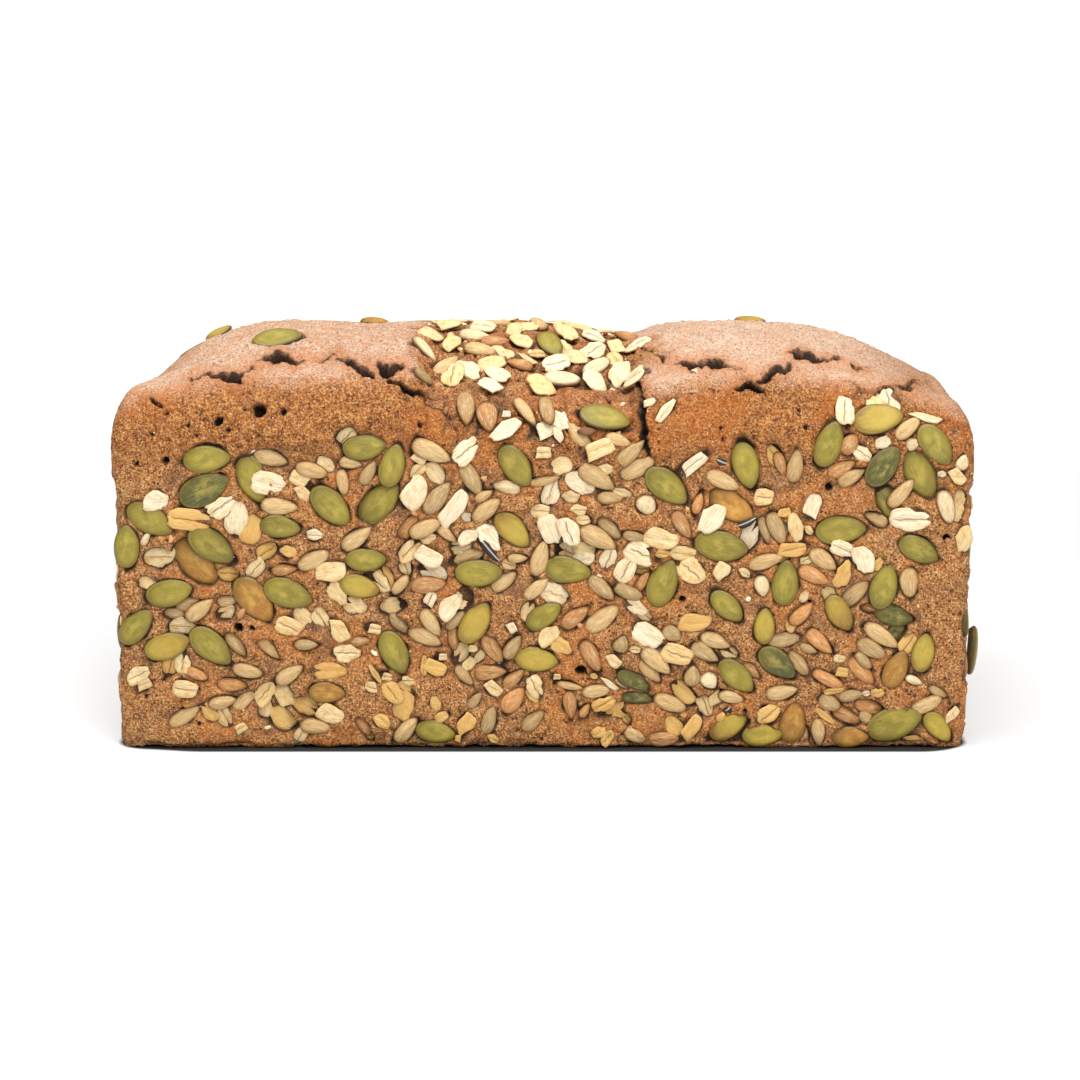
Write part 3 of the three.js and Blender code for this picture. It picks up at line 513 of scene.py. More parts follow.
def patch_distance(patch, u, v):
    """How far out from a patch's middle, where 1 is its edge."""
    x, z, half_width, half_height, turn = patch
    angle = math.radians(turn)
    across = (u - x) * math.cos(angle) + (v - z) * math.sin(angle)
    upward = (v - z) * math.cos(angle) - (u - x) * math.sin(angle)
    return np.hypot(across / half_width, upward / half_height)


def is_bare(side, u, v):
    if side in ("top", "bottom"):
        return False
    if v > seed_line(side, u):
        return True
    return any(patch_distance(patch, u, v) < 1 for patch in patches_of(side))


# ---------------------------------------------------------------- where the seeds lie
def seed(kind, side, u, v, turn, length, width=None, sink=0.0, tone="", look=0):
    width = width or KINDS[kind]["ratio"] * length
    return {"kind": kind, "side": side, "u": u, "v": v, "turn": turn, "length": length, "width": width,
            "sink": sink, "tone": tone, "look": look}


def listed(kind, groups):
    rows = []
    for tone, group in groups.items():
        for x, z, turn, length, *more in group:
            side, u, v = seen_place(x, z)
            rows.append(seed(kind, side, u, v, turn, length, *more, tone=tone))
    return rows


def spots(s):
    """Three spots along a seed, which stands for a rounded bar."""
    reach = (s["length"] - s["width"]) / 2
    angle = math.radians(s["turn"])
    return [(s["u"] + k * reach * math.cos(angle), s["v"] + k * reach * math.sin(angle)) for k in (-1, 0, 1)]


class Field:
    """The seeds of one side, for quick tests of what lies on what."""

    def __init__(self, seeds=()):
        self.seeds = []
        self.spots = np.zeros((0, 3, 2))
        self.widths = np.zeros(0)
        for s in seeds:
            self.add(s)

    def add(self, s):
        self.seeds.append(s)
        self.spots = np.concatenate([self.spots, np.array([spots(s)])])
        self.widths = np.append(self.widths, s["width"])

    def gaps(self, s):
        """The least distance between the seed's spots and those of each other seed."""
        own = np.array(spots(s))
        apart = self.spots[:, :, None, :] - own[None, None, :, :]
        return np.hypot(apart[..., 0], apart[..., 1]).min(axis=(1, 2))

    def clear(self, s, packing):
        if not self.seeds:
            return True
        return bool(np.all(self.gaps(s) >= packing * (self.widths + s["width"]) / 2))


def scatter(field, side, kind, count, draw, area, packing):
    """Draws places for one kind until the side holds as many as it should or has no room."""
    shape = KINDS[kind]
    left = count
    for _ in range(TRIES * count):
        if left == 0:
            return
        u = area["middle"] + area["half"] * (2 * next(draw) - 1)
        v = area["low"] + (area["high"] - area["low"]) * next(draw)
        turn = 180 * next(draw)
        scale = 1 + SPREAD * (2 * next(draw) - 1)
        s = seed(kind, side, u, v, turn, shape["length"] * scale, shape["length"] * shape["ratio"] * scale)
        if not area["allowed"](u, v) or not field.clear(s, packing):
            continue
        field.add(s)
        left -= 1


def area_of(side):
    """Where seeds may lie by chance: the middle and half width of the area, its ends and a test."""
    half = (HALF_X if side in ("front", "back", "bottom") else HALF_Y) - CORNER
    area = {"middle": 0, "half": half, "low": 4, "high": 106, "allowed": lambda u, v: not is_bare(side, u, v)}
    if side == "bottom":
        area.update(half=half - 3, low=-HALF_Y + 7, high=HALF_Y - 7)
    if side == "top":
        area.update(middle=-4, half=33, low=-43, high=43)
    return area


def settle(seeds):
    """Sinks each seed that lies under one listed before it, and drops what ends up buried."""
    fields = {}
    kept = []
    for s in sorted(seeds, key=lambda one: one["sink"] >= 0):
        s["sink"] = max(0.0, s["sink"])
        field = fields.setdefault(s["side"], Field())
        if field.seeds:
            over = (field.widths + s["width"]) / 2 * OVERLAP["touch"] - field.gaps(s)
            for n in np.nonzero(over > OVERLAP["least"])[0]:
                other = field.seeds[n]
                share = min(1.0, over[n] / OVERLAP["full"])
                under = KINDS[other["kind"]]["thick"] * share * OVERLAP["under"]
                s["sink"] = max(s["sink"], other["sink"] + under)
        if s["sink"] < BURIED:
            field.add(s)
            kept.append(s)
    return kept


def distinct(seeds):
    """Leaves out a seed of a kind whose middle lies on that of an earlier one."""
    kept = []
    for s in seeds:
        near = any(o["kind"] == s["kind"] and o["side"] == s["side"]
                   and math.hypot(o["u"] - s["u"], o["v"] - s["v"]) < NEAREST for o in kept)
        if not near:
            kept.append(s)
    return kept


def filled(side, seeds):
    """A side's seeds with those that lie by chance: first the solid's, then more."""
    field = Field(s for s in seeds if s["side"] == side)
    area = area_of(side)
    if side in SOLID_SEEDS:
        pumpkins, kernels, start = SOLID_SEEDS[side]
        draw = drawer(start)
        scatter(field, side, "pumpkin", pumpkins, draw, area, PACKING)
        scatter(field, side, "kernel", kernels, draw, area, PACKING)
        for s in field.seeds:
            s["v"] = up_wall(side, s["u"], s["v"])
        field = Field(field.seeds)
    *counts, start = EXTRA_SEEDS[side]
    draw = drawer(start)
    for (kind, packing), count in zip(EXTRA_PACKING.items(), counts):
        scatter(field, side, kind, count, draw, area, packing)
    return field.seeds


def all_seeds():
    seeds = []
    for kind, groups in (
        ("pumpkin", FRONT_PUMPKINS), ("kernel", FRONT_KERNELS), ("oat", FRONT_OATS),
        ("pumpkin", TOP_PUMPKINS), ("kernel", TOP_KERNELS), ("oat", TOP_OATS),
    ):
        seeds += listed(kind, groups)
    seeds = distinct(seeds)
    for u, v, turn in LOBE_PUMPKINS:
        seeds.append(seed("pumpkin", "top", u, v, turn, KINDS["pumpkin"]["length"]))
    return settle([s for side in SIDES for s in filled(side, seeds)])


# ---------------------------------------------------------------- the dough's skin
CELL = 0.56  # distance between the points of the skin before it is thinned
CRUST_FACES = 192000
SOCKET_GAP = 0.2  # width of the dark gap round a seed
SOCKET_WALL = (-0.3, 0.35)  # from here to here, counted from the gap's edge, the socket's wall rises
SOCKET_TAPER = {"most": 0.3, "power": 1.5}  # how much narrower it is at the seed's tip, and how that grows
SOCKET_REACH = 1.5  # this far beyond a seed's ends the dough is as it was
GAP_WANDER = {"size": 2.6, "most": 0.42}  # size of its wider and narrower places, and by how much
GAP_DARK = (0.05, 0.4)  # a gap of the first width gets no painted shade, one of the second the whole of it
SOCKET_FLOOR = {"pumpkin": 1.9, "kernel": 1.8, "oat": 1.1}  # how deep the socket is, from the seed's face
GAP_SHADE = 0.6  # how far the gap's painted shade reaches beyond it
LOOSE_SINK = 0.7  # a seed sunk deeper than this isn't held by the dough around it
COLLAR = {"away": 1.2, "width": 0.8, "from": 0.3, "height": 0.35}  # dough that climbs round a held seed
HOLE = {"depth": 2.2, "uneven": 0.2, "flat": 0.7, "dark": 0.65}  # of a gas hole, as shares of its radius; dark is where its painted shade starts to fade
# Borders between seeded and bare dough: lumps that make them ragged, how far these move each border,
# and from where to where the dough changes.
RAGGED = {"lumps": ((9.0, 1.0), (3.5, 0.8), (1.4, 0.35)), "strip": 0.12, "end": 4, "line": 2.2, "patch": 0.22}
BORDER = {"bottom": (-0.6, 0.4), "strip": (0.86, 1.06), "line": (-1.2, 1.2), "patch": (0.86, 1.08)}
STRIP_BENDS = {"size": 13.0, "most": 0.09}  # the strip's borders also bend
NOISE_SIZE = 32


def noise(points, size, start):
    """Smooth lumps of a size, from -1 to 1, the same on every run."""
    table = np.random.default_rng(start).uniform(-1, 1, (NOISE_SIZE,) * 3)
    scaled = points / size + 1000.0
    low = np.floor(scaled).astype(int)
    part = scaled - low
    part = part * part * (3 - 2 * part)
    total = np.zeros(points.shape[:-1])
    for corner in range(8):
        bits = [(corner >> axis) & 1 for axis in range(3)]
        weight = np.ones(points.shape[:-1])
        for axis in range(3):
            weight = weight * (part[..., axis] if bits[axis] else 1 - part[..., axis])
        index = [(low[..., axis] + bits[axis]) % NOISE_SIZE for axis in range(3)]
        total += weight * table[index[0], index[1], index[2]]
    return total


def rough(points, sizes, start):
    """Lumps of several sizes with their heights, added up."""
    total = np.zeros(points.shape[:-1])
    for n, (size, height) in enumerate(sizes):
        total += height * noise(points, size, start + n)
    return total


def wall_grid(side, columns, rows, levels):
    """The points of a wall with their lattice numbers and their places on the side."""
    on_long = side in ("front", "back")
    steps, far_edge, half = (columns, rows, HALF_X) if on_long else (rows, columns, HALF_Y)
    near = side in ("front", "left")
    i, k = np.meshgrid(np.arange(steps + 1), np.arange(len(levels)))
    along = -1 + 2 * i / steps
    fixed = np.full(i.shape, -1.0 if near else 1.0)
    edge = np.full_like(i, 0 if near else far_edge)
    lattice = np.stack([i, edge, k] if on_long else [edge, i, k], axis=-1)
    a, b = (along, fixed) if on_long else (fixed, along)
    v = levels[k]
    return {"side": side, "lattice": lattice, "u": along * half, "v": v, "points": wall_point(a, b, v)}


def level_grid(side, columns, rows, levels):
    """The points of the top or the base, with their share of the way out to the outline."""
    i, j = np.meshgrid(np.arange(columns + 1), np.arange(rows + 1))
    a, b = -1 + 2 * i / columns, -1 + 2 * j / rows
    reach = np.maximum(np.abs(a), np.abs(b))
    safe = np.maximum(reach, 1e-9)
    share, inset, level = (1.0, 0.0, len(levels) - 1) if side == "top" else (0.0, FOOT, 0)
    edge_x, edge_y = outline_point(a / safe, b / safe, share, inset)
    middle_x = (LEAN["left"] - LEAN["right"]) / 2 * share
    x = middle_x + (edge_x - middle_x) * reach
    y = edge_y * reach
    lattice = np.stack([i, j, np.full_like(i, level)], axis=-1)
    points = skin_point(side, x, y)
    return {"side": side, "lattice": lattice, "u": x, "v": y, "points": points, "reach": reach}


def seeded_share(grid):
    """1 where the dough lies back between seeds, 0 where it reached the tin or rose bare."""
    side, u, v, points = grid["side"], grid["u"], grid["v"], grid["points"]
    ragged = rough(points, RAGGED["lumps"], STARTS["ragged"])
    if side == "bottom":
        return smoothstep(ragged, *BORDER["bottom"])
    if side == "top":
        bends = STRIP_BENDS["most"] * noise(points, STRIP_BENDS["size"], STARTS["strip"])
        across = np.abs(u - STRIP["x"]) / STRIP["outer"] + RAGGED["strip"] * ragged + bends
        inside = 1 - smoothstep(across, *BORDER["strip"])
        return inside * (1 - smoothstep(v + RAGGED["end"] * ragged, *STRIP_END))
    share = 1 - smoothstep(v - seed_line(side, u) + RAGGED["line"] * ragged, *BORDER["line"])
    for patch in patches_of(side):
        out = patch_distance(patch, u, v) + RAGGED["patch"] * ragged
        share = share * smoothstep(out, *BORDER["patch"])
    return share


def press_seed(grid, s):
    """Makes room for a seed in the dough, with a narrow gap round it, and paints shade in and beside that
    gap.
    """
    reach = s["length"] / 2 + SOCKET_REACH
    near = (np.abs(grid["u"] - s["u"]) < reach) & (np.abs(grid["v"] - s["v"]) < reach)
    if not near.any():
        return
    held = s["sink"] < LOOSE_SINK
    angle = math.radians(s["turn"])
    du = grid["u"][near] - s["u"]
    dv = grid["v"][near] - s["v"]
    along = (du * math.cos(angle) + dv * math.sin(angle)) / (s["length"] / 2)
    across = (dv * math.cos(angle) - du * math.sin(angle)) / (s["width"] / 2)
    narrow = 1 - SOCKET_TAPER["most"] * np.clip(along, 0, 1) ** SOCKET_TAPER["power"]
    out = (np.hypot(along, across / narrow) - 1) * s["width"] / 2
    wander = GAP_WANDER["most"] * noise(grid["points"][near], GAP_WANDER["size"], STARTS["gap"])
    gap = wander + (SOCKET_GAP if held else 0.0)
    floor = s["sink"] + SOCKET_FLOOR[s["kind"]]
    inside = 1 - smoothstep(out, gap + SOCKET_WALL[0], gap + SOCKET_WALL[1])
    depth = grid["depth"][near]
    grid["depth"][near] = np.maximum(depth, depth + (floor - depth) * inside)
    # Painted shade: darkness in and just beyond the gap round the seed.
    painted_gap_shade = (1 - smoothstep(out, gap, gap + GAP_SHADE)) * smoothstep(gap, *GAP_DARK)
    grid["gap"][near] = np.maximum(grid["gap"][near], painted_gap_shade)
    if held:
        collar = np.exp(-(((out - COLLAR["away"]) / COLLAR["width"]) ** 2)) * (out > COLLAR["from"])
        grid["depth"][near] -= COLLAR["height"] * collar * grid["seeded"][near]


def dig_hole(grid, x, z, radius, start):
    side, u, v = seen_place(x, z)
    if side != grid["side"]:
        return
    away = np.hypot(grid["u"] - u, grid["v"] - v)
    near = away < radius * 2
    if not near.any():
        return
    away = away[near] + HOLE["uneven"] * radius * noise(grid["points"][near], radius, start)
    grid["depth"][near] += HOLE["depth"] * radius * (1 - smoothstep(away, HOLE["flat"] * radius, radius))
    # Painted shade in the hole.
    grid["hole"][near] = np.maximum(grid["hole"][near], 1 - smoothstep(away, HOLE["dark"] * radius, radius))


def crack_lines():
    """Each crack as points on the skin with half widths."""
    for path in CRACKS:
        points = []
        halves = []
        for x, z, width in path:
            side, u, v = seen_place(x, z)
            points.append(skin_point(side, u, v))
            halves.append(width / 2)
        yield np.array(points), np.array(halves)


# The crust stands up along a crack: how high below and above it, how far away, how wide, and only where
# the crack is no deeper than this.
LIP = {"below": 0.3, "above": 0.8, "away": 1.0, "width": 1.3, "shallow": 0.4}
CRUMBLE = {"height": 0.7, "reach": 3.5, "lumps": ((2.2, 0.8), (1.2, 1.0))}  # beside it the crust crumbles
TEARS_FROM = {"y": -8, "z": 78}  # the cracks lie in front of here and above here
CRACK_LEAST = 0.34  # half the width of a crack where it is narrowest
CRACK_DEPTH = (1.6, 2.2)  # depth of a crack, and how much deeper it is for each half width
CRACK_FLOOR = 0.5  # how wide its floor is, as a share of its width
CRACK_WALL = 0.2  # how far beyond its half width its walls end
CRACK_DARK = (0.05, 0.45)  # from here to here beyond its half width its painted shade fades
CRACK_WANDER = ((4.0, 1.1), (1.8, 0.55), (0.9, 0.15))  # sizes and heights of its bends
CRACK_OPENING = {"mean": 0.95, "uneven": 0.5, "size": 3.0, "least": 0.5, "most": 1.35}
CRACK_DEEPER = 0.5  # how much of the distance away from the eye doesn't count towards a crack's width


def tear(grid):
    """Opens the cracks: a deep ragged trench under a lifted lip, with painted shade in it."""
    points = grid["points"]
    near = (points[..., 1] < TEARS_FROM["y"]) & (points[..., 2] > TEARS_FROM["z"])
    if grid["side"] not in ("front", "top") or not near.any():
        return
    spots_near = points[near]
    wander = [rough(spots_near, CRACK_WANDER, STARTS["wander"] + 5 * axis) for axis in range(3)]
    warped = spots_near + np.stack(wander, axis=-1)
    uneven = CRACK_OPENING["uneven"] * noise(spots_near, CRACK_OPENING["size"], STARTS["opening"])
    opening = np.clip(CRACK_OPENING["mean"] + uneven, CRACK_OPENING["least"], CRACK_OPENING["most"])
    depth, lip, dark, crumbled = (np.zeros(len(spots_near)) for _ in range(4))
    for line, halves in crack_lines():
        for n in range(len(line) - 1):
            step = line[n + 1] - line[n]
            share = np.clip(((warped - line[n]) @ step) / (step @ step), 0, 1)
            apart = warped - line[n] - share[:, None] * step
            ray = unit(line[n] - EYE)
            apart -= CRACK_DEEPER * (apart @ ray)[:, None] * ray
            away = np.linalg.norm(apart, axis=1)
            half = np.maximum((halves[n] + (halves[n + 1] - halves[n]) * share) * opening, CRACK_LEAST)
            inside = 1 - smoothstep(away, CRACK_FLOOR * half, half + CRACK_WALL)
            depth = np.maximum(depth, (CRACK_DEPTH[0] + CRACK_DEPTH[1] * half) * inside)
            # Painted shade in the crack.
            dark = np.maximum(dark, 1 - smoothstep(away, half + CRACK_DARK[0], half + CRACK_DARK[1]))
            crumbled = np.maximum(crumbled, np.exp(-(((away - half) / CRUMBLE["reach"]) ** 2)))
            height = np.where(apart[:, 2] < 0, LIP["below"], LIP["above"]) * np.minimum(half, 1)
            lip = np.maximum(lip, height * np.exp(-(((away - half - LIP["away"]) / LIP["width"]) ** 2)))
    grid["crack"][near] = dark
    grid["torn"][near] = crumbled
    crumbs = CRUMBLE["height"] * rough(spots_near, CRUMBLE["lumps"], STARTS["crumble"])
    grid["depth"][near] += depth - lip * (depth < LIP["shallow"]) + crumbled * crumbs


# How far the dough lies behind the smooth skin, and sizes and heights of its lumps.
BEDS = {
    "wall": (BED, ((8.0, 0.6), (3.0, 0.45), (1.3, 0.35))),
    "top": (0.8, ((9.0, 1.1), (4.0, 1.1), (1.6, 0.5))),
    "bottom": (0.9, ((3.0, 0.3), (1.3, 0.25))),
}
BARE = {
    "wall": (0.3, ((14.0, 0.22), (4.0, 0.14), (1.2, 0.14))),
    "top": (0.2, ((16.0, 0.7), (6.0, 0.45), (2.4, 0.42), (1.2, 0.34))),
    "bottom": (0.15, ((4.0, 0.08), (1.2, 0.06))),
}
HOLLOW = {"depth": 0.9, "rise": 12}  # at the shoulder the strip's dough lies back, over this height
RIM_BLEND = 0.16  # share of the top's half size over which its lumps grow from the rim inwards
# Folds between lumps of the strip's dough, with the painted shade in them, and the heights between which they
# set in.
CREASE = {
    "sizes": (8.0, 4.5), "narrow": 7.0, "depth": 1.5, "shade": 0.3, "rise": (SHOULDER + 2, SHOULDER + 8),
}


def lumpy(points, layer, start):
    mean, lumps = layer
    return mean + rough(points, lumps, start)


def relief(grid, seeds):
    """How far each point of one side lies behind the smooth skin."""
    points, side = grid["points"], grid["side"]
    level = "bottom" if side == "bottom" else "wall"
    bed = lumpy(points, BEDS[level], STARTS["bed"])
    bare = lumpy(points, BARE[level], STARTS["bare"])
    if side == "top":
        inner = smoothstep(1 - grid["reach"], 0.0, RIM_BLEND)
        bare += (lumpy(points, BARE["top"], STARTS["bare top"]) - bare) * inner
        bed += (lumpy(points, BEDS["top"], STARTS["bed"]) - bed) * inner
    grid["seeded"] = seeded_share(grid)
    for name in ("crack", "gap", "torn", "hole", "hollow"):
        grid[name] = np.zeros(points.shape[:-1])
    grid["depth"] = bare + (bed - bare) * grid["seeded"]
    middle = in_strip(grid["u"])
    if side == "front":  # the seeded middle lies back between the lobes
        grid["hollow"] = HOLLOW["depth"] * middle * smoothstep(grid["v"], SHOULDER, SHOULDER + HOLLOW["rise"])
    if side in ("front", "top"):
        high = smoothstep(points[..., 2], *CREASE["rise"])
        lines = [np.abs(noise(points, size, STARTS["fold"])) for size in CREASE["sizes"]]
        folds = [np.clip(1 - CREASE["narrow"] * line, 0, 1) for line in lines]
        fold = middle * high * (1 - smoothstep(points[..., 1], *STRIP_END)) * np.maximum(*folds)
        grid["depth"] += CREASE["depth"] * fold
        # Painted shade in the folds.
        grid["gap"] = CREASE["shade"] * fold
    for s in seeds:
        if s["side"] == side:
            press_seed(grid, s)
    for n, (x, z, radius) in enumerate(HOLES):
        dig_hole(grid, x, z, radius, STARTS["hole"] + n)
    tear(grid)
    # The holes' painted shade joins that of the cracks.
    grid["crack"] = np.maximum(grid["crack"], grid["hole"])


# The crack and gap values carry painted shade.
SKIN_VALUES = ("depth", "hollow", "seeded", "crack", "gap", "torn")


def merged_lattice(grids):
    """Joins the sides' grids: each lattice point once, values averaged where sides meet."""
    lattices = np.concatenate([g["lattice"].reshape(-1, 3) for g in grids])
    size = lattices.max(axis=0) + 1
    keys = (lattices[:, 0] * size[1] + lattices[:, 1]) * size[2] + lattices[:, 2]
    _, first, number = np.unique(keys, return_index=True, return_inverse=True)
    number = number.ravel()
    counts = np.bincount(number)
    merged = {"points": np.concatenate([g["points"].reshape(-1, 3) for g in grids])[first]}
    for name in SKIN_VALUES:
        values = np.concatenate([g[name].ravel() for g in grids])
        merged[name] = np.bincount(number, values) / counts
    quads = []
    start = 0
    for g in grids:
        rows, columns = g["depth"].shape
        index = number[start:start + rows * columns].reshape(rows, columns)
        start += rows * columns
        corners = [index[:-1, :-1], index[:-1, 1:], index[1:, 1:], index[1:, :-1]]
        quad = np.stack(corners, axis=-1).reshape(-1, 4)
        if g["side"] in ("back", "left", "bottom"):
            quad = quad[:, ::-1]
        quads.append(quad)
    merged["quads"] = np.concatenate(quads)
    return merged


def vertex_normals(points, quads):
    corners = points[quads]
    faces = np.cross(corners[:, 2] - corners[:, 0], corners[:, 3] - corners[:, 1])
    normals = np.zeros_like(points)
    for axis in range(3):
        totals = np.zeros(len(points))
        for corner in range(4):
            totals += np.bincount(quads[:, corner], faces[:, axis], minlength=len(points))
        normals[:, axis] = totals
    return unit(normals)


def mesh_from(name, points, faces):
    """A mesh of equal-sided faces from arrays in the loaf's frame."""
    mesh = bpy.data.meshes.new(name)
    count, sides = faces.shape
    mesh.vertices.add(len(points))
    mesh.vertices.foreach_set("co", ((points + (SHIFT_X, 0, 0)) * MM).astype(np.float32).ravel())
    mesh.loops.add(count * sides)
    mesh.loops.foreach_set("vertex_index", faces.astype(np.int32).ravel())
    mesh.polygons.add(count)
    mesh.polygons.foreach_set("loop_start", np.arange(0, count * sides, sides, dtype=np.int32))
    mesh.polygons.foreach_set("use_smooth", np.ones(count, dtype=bool))
    mesh.update(calc_edges=True)
    mesh.validate()
    return mesh


def keep_value(mesh, name, values, kind="FLOAT"):
    layer = mesh.attributes.new(name, kind, "POINT")
    field = {"FLOAT": "value", "INT": "value", "FLOAT_VECTOR": "vector"}[kind]
    dtype = np.int32 if kind == "INT" else np.float32
    layer.data.foreach_set(field, np.asarray(values, dtype).ravel())


def finished(thing, name):
    """The plain mesh object that a thing's modifiers make, in the thing's place."""
    graph = bpy.context.evaluated_depsgraph_get()
    mesh = bpy.data.meshes.new_from_object(
        thing.evaluated_get(graph), preserve_all_data_layers=True, depsgraph=graph
    )
    bpy.data.objects.remove(thing)
    mesh.name = name
    made = bpy.data.objects.new(name, mesh)
    bpy.context.scene.collection.objects.link(made)
    return made


INSET = 0.03 * MM  # how far inside the solid's box everything stays


def keep_inside(piece):
    """Presses what stands out of the solid's box back to it, as the tin did."""
    mesh = piece.data
    points = np.empty(len(mesh.vertices) * 3, dtype=np.float32)
    mesh.vertices.foreach_get("co", points)
    points = points.reshape(-1, 3)
    points = np.clip(points, np.array(cad_low) + (INSET, INSET, 0), np.array(cad_high) - INSET)
    mesh.vertices.foreach_set("co", points.astype(np.float32).ravel())
    mesh.update()


FOOT_LIFT = 0.3  # how far the edge of the base stands off the floor in places
FOOT_REACH = 4.0  # up to this height
FOOT_LUMPS = ((9.0, 1.0), (2.5, 0.5))
# Lumps of the top may stand out of the smooth skin, from this height on.
LEAST_DEPTH = {"top": -0.8, "wall": 0.05, "from": SHOULDER + 8}
MOST_DEPTH = 9.0
TOP_SLOPE = (0.45, 0.99)  # how far up the skin must face to begin to look like the top, and to do so wholly


def make_crust(seeds):
    columns, rows = round(LENGTH / CELL), round(DEPTH / CELL)
    levels = np.linspace(0, WALL_TOP, round(WALL_TOP / CELL) + 1)
    grids = []
    for side in SIDES:
        make_grid = level_grid if side in ("top", "bottom") else wall_grid
        grids.append(make_grid(side, columns, rows, levels))
        relief(grids[-1], seeds)
    whole = merged_lattice(grids)
    points = whole["points"]
    normals = vertex_normals(points, whole["quads"])
    least = np.where(points[:, 2] > LEAST_DEPTH["from"], LEAST_DEPTH["top"], LEAST_DEPTH["wall"])
    depth = np.clip(whole["depth"] + whole["hollow"], least, MOST_DEPTH)
    moved = points - normals * depth[:, None]
    lifted = FOOT_LIFT * np.clip(rough(points, FOOT_LUMPS, STARTS["foot"]) + 0.1, 0, 1)
    moved[:, 2] = np.maximum(moved[:, 2], lifted * np.clip(1 - points[:, 2] / FOOT_REACH, 0, 1))
    mesh = mesh_from("crust", moved, whole["quads"])
    for name in SKIN_VALUES:
        keep_value(mesh, name, whole[name])
    keep_value(mesh, "top", smoothstep(normals[:, 2], *TOP_SLOPE))
    thing = bpy.data.objects.new("crust_dense", mesh)
    bpy.context.scene.collection.objects.link(thing)
    crisp = thing.vertex_groups.new(name="crisp")
    crisp.add(np.nonzero(whole["crack"] > 0.01)[0].tolist(), 1.0, "REPLACE")
    thinned = thing.modifiers.new("thinned", "DECIMATE")
    thinned.vertex_group = crisp.name  # the cracks and holes keep all their points
    thinned.invert_vertex_group = True
    thinned.ratio = CRUST_FACES / (2 * len(whole["quads"]))
    return finished(thing, "crust")


# ---------------------------------------------------------------- shapes of the seeds
REFERENCE = {"pumpkin": (14.2, 8.2), "kernel": (9.8, 4.9), "oat": (8.4, 6.0)}  # length and width
SHAPES = {"pumpkin": 6, "kernel": 8, "oat": 12}  # how many shapes each kind has
CRUMB_SHAPES = 6
HULL_SHAPES = 2
HULL_LENGTH = 8.0
HULL_WIDTH = 2.6
WHOLE_FLAKES = 6  # the first oat shapes are whole flakes, the others broken ones
WHOLE_LENGTH = 7.0  # oats from this length on are whole more often than not
WHOLE_SHARE = {"long": 0.65, "short": 0.2}


def domed_shape(name, segments, rings, outline, height):
    """A closed seed: rings of one outline at falling heights, a cap above and one below."""
    angles = np.arange(segments) * 2 * math.pi / segments
    edge = outline(angles)
    points, marks = [(0.0, 0.0, height(0.0, 0.0, 0.0))], [(0.0, 0.0, 0.0)]
    for reach, drop in rings:
        for x, y in edge * reach:
            points.append((x, y, drop + height(x, y, reach)))
            marks.append((x, y, drop))
    lowest = rings[-1][1]
    points.append((0.0, 0.0, lowest))
    marks.append((0.0, 0.0, lowest))
    faces = []
    for k in range(segments):
        after = (k + 1) % segments
        faces.append((0, 1 + k, 1 + after))
        for ring in range(len(rings) - 1):
            high, low = 1 + ring * segments, 1 + (ring + 1) * segments
            faces.append((high + k, low + k, low + after, high + after))
        last = 1 + (len(rings) - 1) * segments
        faces.append((len(points) - 1, last + after, last + k))
    mesh = bpy.data.meshes.new(name)
    mesh.from_pydata([tuple(value * MM for value in point) for point in points], [], faces)
    mesh.shade_smooth()
    keep_value(mesh, "grain", marks, "FLOAT_VECTOR")
    return mesh


def pointed_outline(length, width, tip, blunt, start):
    """An outline drawn to a point at one end and rounder at the other, a little uneven. The powers
    tip and blunt say how it narrows: 0.5 is round and 1 is a straight-sided point."""
    draw = np.random.default_rng(start)
    waves = draw.uniform(-1, 1, 3)
    widest = (blunt - tip) / (blunt + tip)
    most = (1 - widest) ** tip * (1 + widest) ** blunt

    def outline(angles):
        x = np.cos(angles)
        y = np.sign(np.sin(angles)) * np.clip(1 - x, 0, 2) ** tip * np.clip(1 + x, 0, 2) ** blunt / most
        swell = 1 + 0.035 * (waves[0] * np.sin(2 * angles) + waves[1] * np.cos(3 * angles))
        bend = 0.07 * waves[2] * x * x
        return np.stack([x * length / 2, (y * swell + bend) * width / 2], axis=-1)

    return outline


def broken_outline(length, width, start):
    """An outline of straight broken edges between a few corners."""
    draw = np.random.default_rng(start)
    count = int(draw.integers(4, 7))
    turns = (np.arange(count) + 0.5 + draw.uniform(-0.28, 0.28, count)) * 2 * math.pi / count
    corners = np.stack([np.cos(turns), np.sin(turns)], axis=-1) * draw.uniform(0.82, 1.2, (count, 1))

    def outline(angles):
        after = np.searchsorted(turns, angles) % count
        first, last = corners[after - 1].T, corners[after].T
        way = np.stack([np.cos(angles), np.sin(angles)])
        edge = last - first
        reach = (first[0] * edge[1] - first[1] * edge[0]) / (way[0] * edge[1] - way[1] * edge[0])
        reach = reach * (1 + draw.uniform(-0.05, 0.05, len(angles)))
        return (way * reach).T * (length / 2, width / 2)

    return outline


def flake_outline(length, width, start):
    """A squarish oval with a few bites and a ragged edge."""
    draw = np.random.default_rng(start)
    square, taper, shear = draw.uniform(0.66, 0.95), draw.uniform(-0.22, 0.22), draw.uniform(-0.2, 0.2)
    notches = draw.uniform(0, 2 * math.pi, 4)
    bites = draw.uniform(0.02, 0.24, 4)

    def outline(angles):
        x, y = (np.sign(way) * np.abs(way) ** square for way in (np.cos(angles), np.sin(angles)))
        ragged = 1 + draw.uniform(-0.06, 0.06, len(angles))
        for where, deep in zip(notches, bites):
            ragged -= deep * np.exp(-((np.angle(np.exp(1j * (angles - where))) / 0.22) ** 2))
        y = y * (1 + taper * x)
        return np.stack([(x + shear * y) * length / 2, y * width / 2], axis=-1) * ragged[:, None]

    return outline


